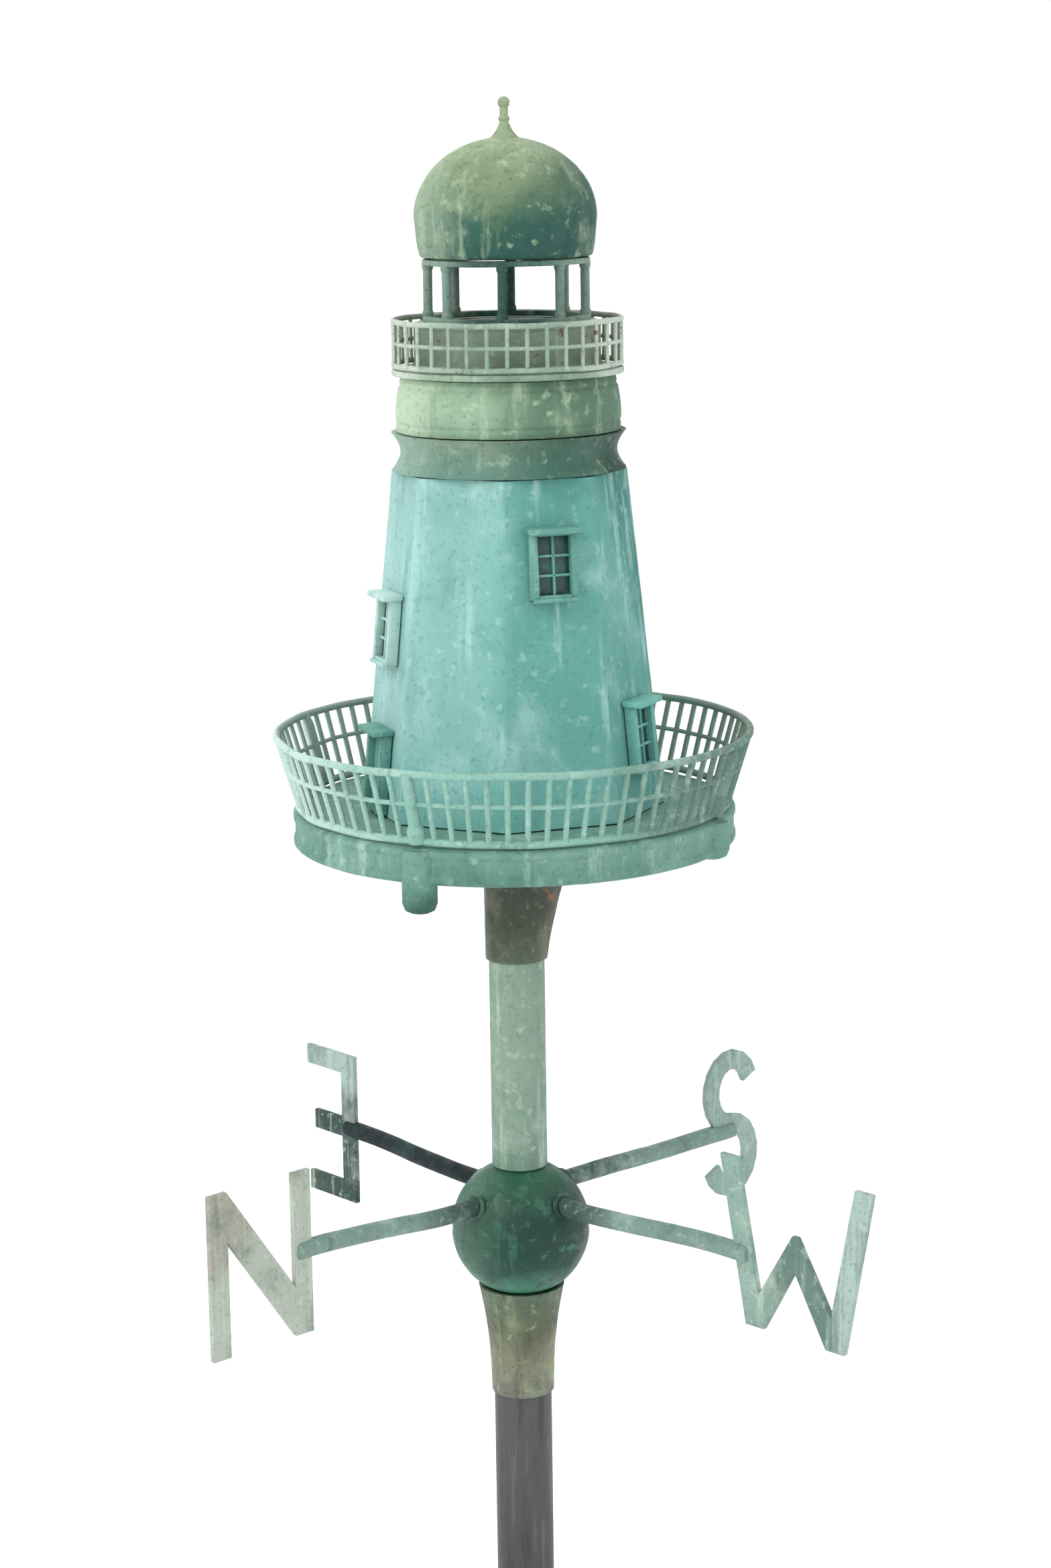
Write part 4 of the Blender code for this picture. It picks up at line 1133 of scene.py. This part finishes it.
class WEATHERVANE_OT_roof(bpy.types.Operator):
    """Add the domed roof and its small finial"""

    bl_idname = "weathervane.roof"
    bl_label = "Roof and Finial"

    def execute(self, context):
        sizes = lantern_sizes()
        low, high = heights("roof")
        radius = half_width("roof")
        band_top = low + sizes.roof_band
        dome_top = band_top + sizes.dome_height
        neck, stem = sizes.neck_radius, sizes.stem_radius
        dome = traced(40, lambda share: (
            radius * math.sin(math.pi / 2 * share),
            band_top + sizes.dome_height * math.cos(math.pi / 2 * share),
        ))
        outside = [(0, high), (stem, high), (neck * 0.6, dome_top + (high - dome_top) * 0.4)]
        outside += [point for point in dome if point[0] > neck]
        outside += [(radius * 0.97, low + sizes.roof_band * 0.3), (radius * 0.94, low), (0, low)]
        shape = spun(stepped(eased(outside, 0.0016), 0.004), 104)
        dent(shape, 0.0004, 0.014, 181)
        # Dark teal at the band and pale olive at the top: the patina's own tones, with painted shade on
        # the band and painted light on the dome's top.
        main = [
            (low, (34, 78, 70)), (low + 0.012, (40, 86, 74)), (band_top + 0.010, (98, 122, 92)),
            (high, (150, 168, 134)),
        ]
        # Painted light and shade: the dome is tinted darker towards its lower right and paler on the
        # left, as if lit from the upper left.
        right = ((32, 78, 70), (0.9, 0.0, -0.4), -0.248, -0.218, 0.85)
        left = ((158, 180, 156), LEFT, 0.012, 0.034, 0.55)
        verdigris = patina("roof_patina", main, (172, 192, 158), (28, 68, 58), 0.2, 1.1, 182,
                           tints=[right, left])
        finish_piece("spun_dome", shape, verdigris, VANE, "roof")

        low, high = heights("finial")
        ball = sizes.finial_ball
        reach = math.pi - math.asin(stem / ball)
        angles = traced(12, lambda share: math.pi / 2 - reach * share)[1:]
        knob = [(ball * math.cos(angle), high - ball + ball * math.sin(angle)) for angle in angles]
        foot_ring = [
            (stem, low + stem * 0.7), (stem * 1.35, low + stem * 0.4),
            (stem * 1.35, low - stem * 0.2), (stem * 0.9, low - stem * 0.8), (0, low - stem * 0.8),
        ]
        shape = spun([(0, high)] + knob + foot_ring, 32)
        verdigris = patina("finial_patina", (148, 164, 132), (190, 204, 176), (80, 96, 76), 0.4, 3.0,
                           184)
        finish_piece("small_finial", shape, verdigris, VANE, "finial")
        return {"FINISHED"}


PHOTO_HEIGHT = 2340
FOCAL_PIXELS = 4800
SENSOR = 36.0
CAMERA_PLACE = (0.0045, -1.237, 0.6493)
CAMERA_DROP = math.radians(11.7)
CAMERA_ROLL = math.radians(0.83)
LIGHT_TARGET = Vector((0, 0, 0.42))
SKY_STRENGTH = 1.08
FLOOR_RADIUS = 9.0


class WEATHERVANE_OT_stage(bpy.types.Operator):
    """Add the pale floor, the soft lights and the camera"""

    bl_idname = "weathervane.stage"
    bl_label = "Stage"

    def execute(self, context):
        scene = context.scene
        shape = bmesh.new()
        bmesh.ops.create_circle(shape, cap_ends=True, segments=96, radius=FLOOR_RADIUS)
        mesh = bpy.data.meshes.new("pale_floor")
        shape.to_mesh(mesh)
        shape.free()
        floor = bpy.data.objects.new("pale_floor", mesh)
        scene.collection.objects.link(floor)
        mesh.materials.append(floor_material())
        scene.world = bpy.data.worlds.new("studio")
        scene.world.use_nodes = True
        sky = scene.world.node_tree.nodes["Background"]
        sky.inputs["Color"].default_value = (1.0, 1.0, 1.0, 1.0)
        sky.inputs["Strength"].default_value = SKY_STRENGTH
        add_light("key_light", (-1.5, -1.3, 1.9), 1.2, 22, (1.0, 0.98, 0.95))
        add_light("fill_light", (1.7, -1.1, 1.1), 1.6, 3, (0.95, 0.98, 1.0))
        add_light("back_light", (-0.4, 1.8, 1.7), 1.4, 8, (1.0, 1.0, 1.0))
        add_camera(scene)
        scene.view_settings.view_transform = "Standard"
        return {"FINISHED"}


def add_light(name, place, size, power, colour):
    """A square soft light that looks at the middle of the weathervane."""
    light = bpy.data.lights.new(name, "AREA")
    light.size = size
    light.energy = power
    light.color = colour
    lamp = bpy.data.objects.new(name, light)
    bpy.context.scene.collection.objects.link(lamp)
    lamp.location = place
    lamp.rotation_euler = (LIGHT_TARGET - Vector(place)).to_track_quat("-Z", "Y").to_euler()


def add_camera(scene):
    """The camera at the photograph's viewing angle."""
    data = bpy.data.cameras.new("camera")
    data.sensor_width = SENSOR
    data.lens = SENSOR * FOCAL_PIXELS / PHOTO_HEIGHT
    data.clip_start = 0.05
    camera = bpy.data.objects.new("camera", data)
    scene.collection.objects.link(camera)
    tilt = Matrix.Rotation(math.pi / 2 - CAMERA_DROP, 4, "X")
    roll = Matrix.Rotation(-CAMERA_ROLL, 4, "Z")
    camera.matrix_world = Matrix.Translation(CAMERA_PLACE) @ tilt @ roll
    scene.camera = camera


PIECE_OPERATORS = (
    WEATHERVANE_OT_rod,
    WEATHERVANE_OT_lower_cup,
    WEATHERVANE_OT_hub_ball,
    WEATHERVANE_OT_arms,
    WEATHERVANE_OT_letters,
    WEATHERVANE_OT_sleeve,
    WEATHERVANE_OT_upper_cup,
    WEATHERVANE_OT_platform,
    WEATHERVANE_OT_platform_railing,
    WEATHERVANE_OT_tower,
    WEATHERVANE_OT_windows,
    WEATHERVANE_OT_mouldings,
    WEATHERVANE_OT_gallery,
    WEATHERVANE_OT_gallery_railing,
    WEATHERVANE_OT_lantern,
    WEATHERVANE_OT_roof,
    WEATHERVANE_OT_stage,
)


class WEATHERVANE_PT_sidebar(bpy.types.Panel):
    """The weathervane's pieces, in the order in which they are added"""

    bl_label = "Weathervane"
    bl_space_type = "VIEW_3D"
    bl_region_type = "UI"
    bl_category = "Weathervane"

    def draw(self, context):
        for operator in PIECE_OPERATORS:
            self.layout.operator(operator.bl_idname)
        for name in SETTINGS:
            settings = getattr(context.scene, name)
            box = self.layout.box()
            for setting in settings.__annotations__:
                box.prop(settings, setting)


SETTINGS = {
    "weathervane_mast": MastSizes,
    "weathervane_vane": VaneSizes,
    "weathervane_lantern": LanternSizes,
    "weathervane_colours": PatinaColours,
}
CLASSES = (*SETTINGS.values(), *PIECE_OPERATORS, WEATHERVANE_PT_sidebar)


def register():
    for each in CLASSES:
        bpy.utils.register_class(each)
    for name, group in SETTINGS.items():
        setattr(bpy.types.Scene, name, bpy.props.PointerProperty(type=group))


def unregister():
    for name in SETTINGS:
        delattr(bpy.types.Scene, name)
    for each in reversed(CLASSES):
        bpy.utils.unregister_class(each)


def main():
    register()
    for operator in PIECE_OPERATORS:
        group, name = operator.bl_idname.split(".")
        getattr(getattr(bpy.ops, group), name)()
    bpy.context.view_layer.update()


if __name__ == "__main__":
    main()
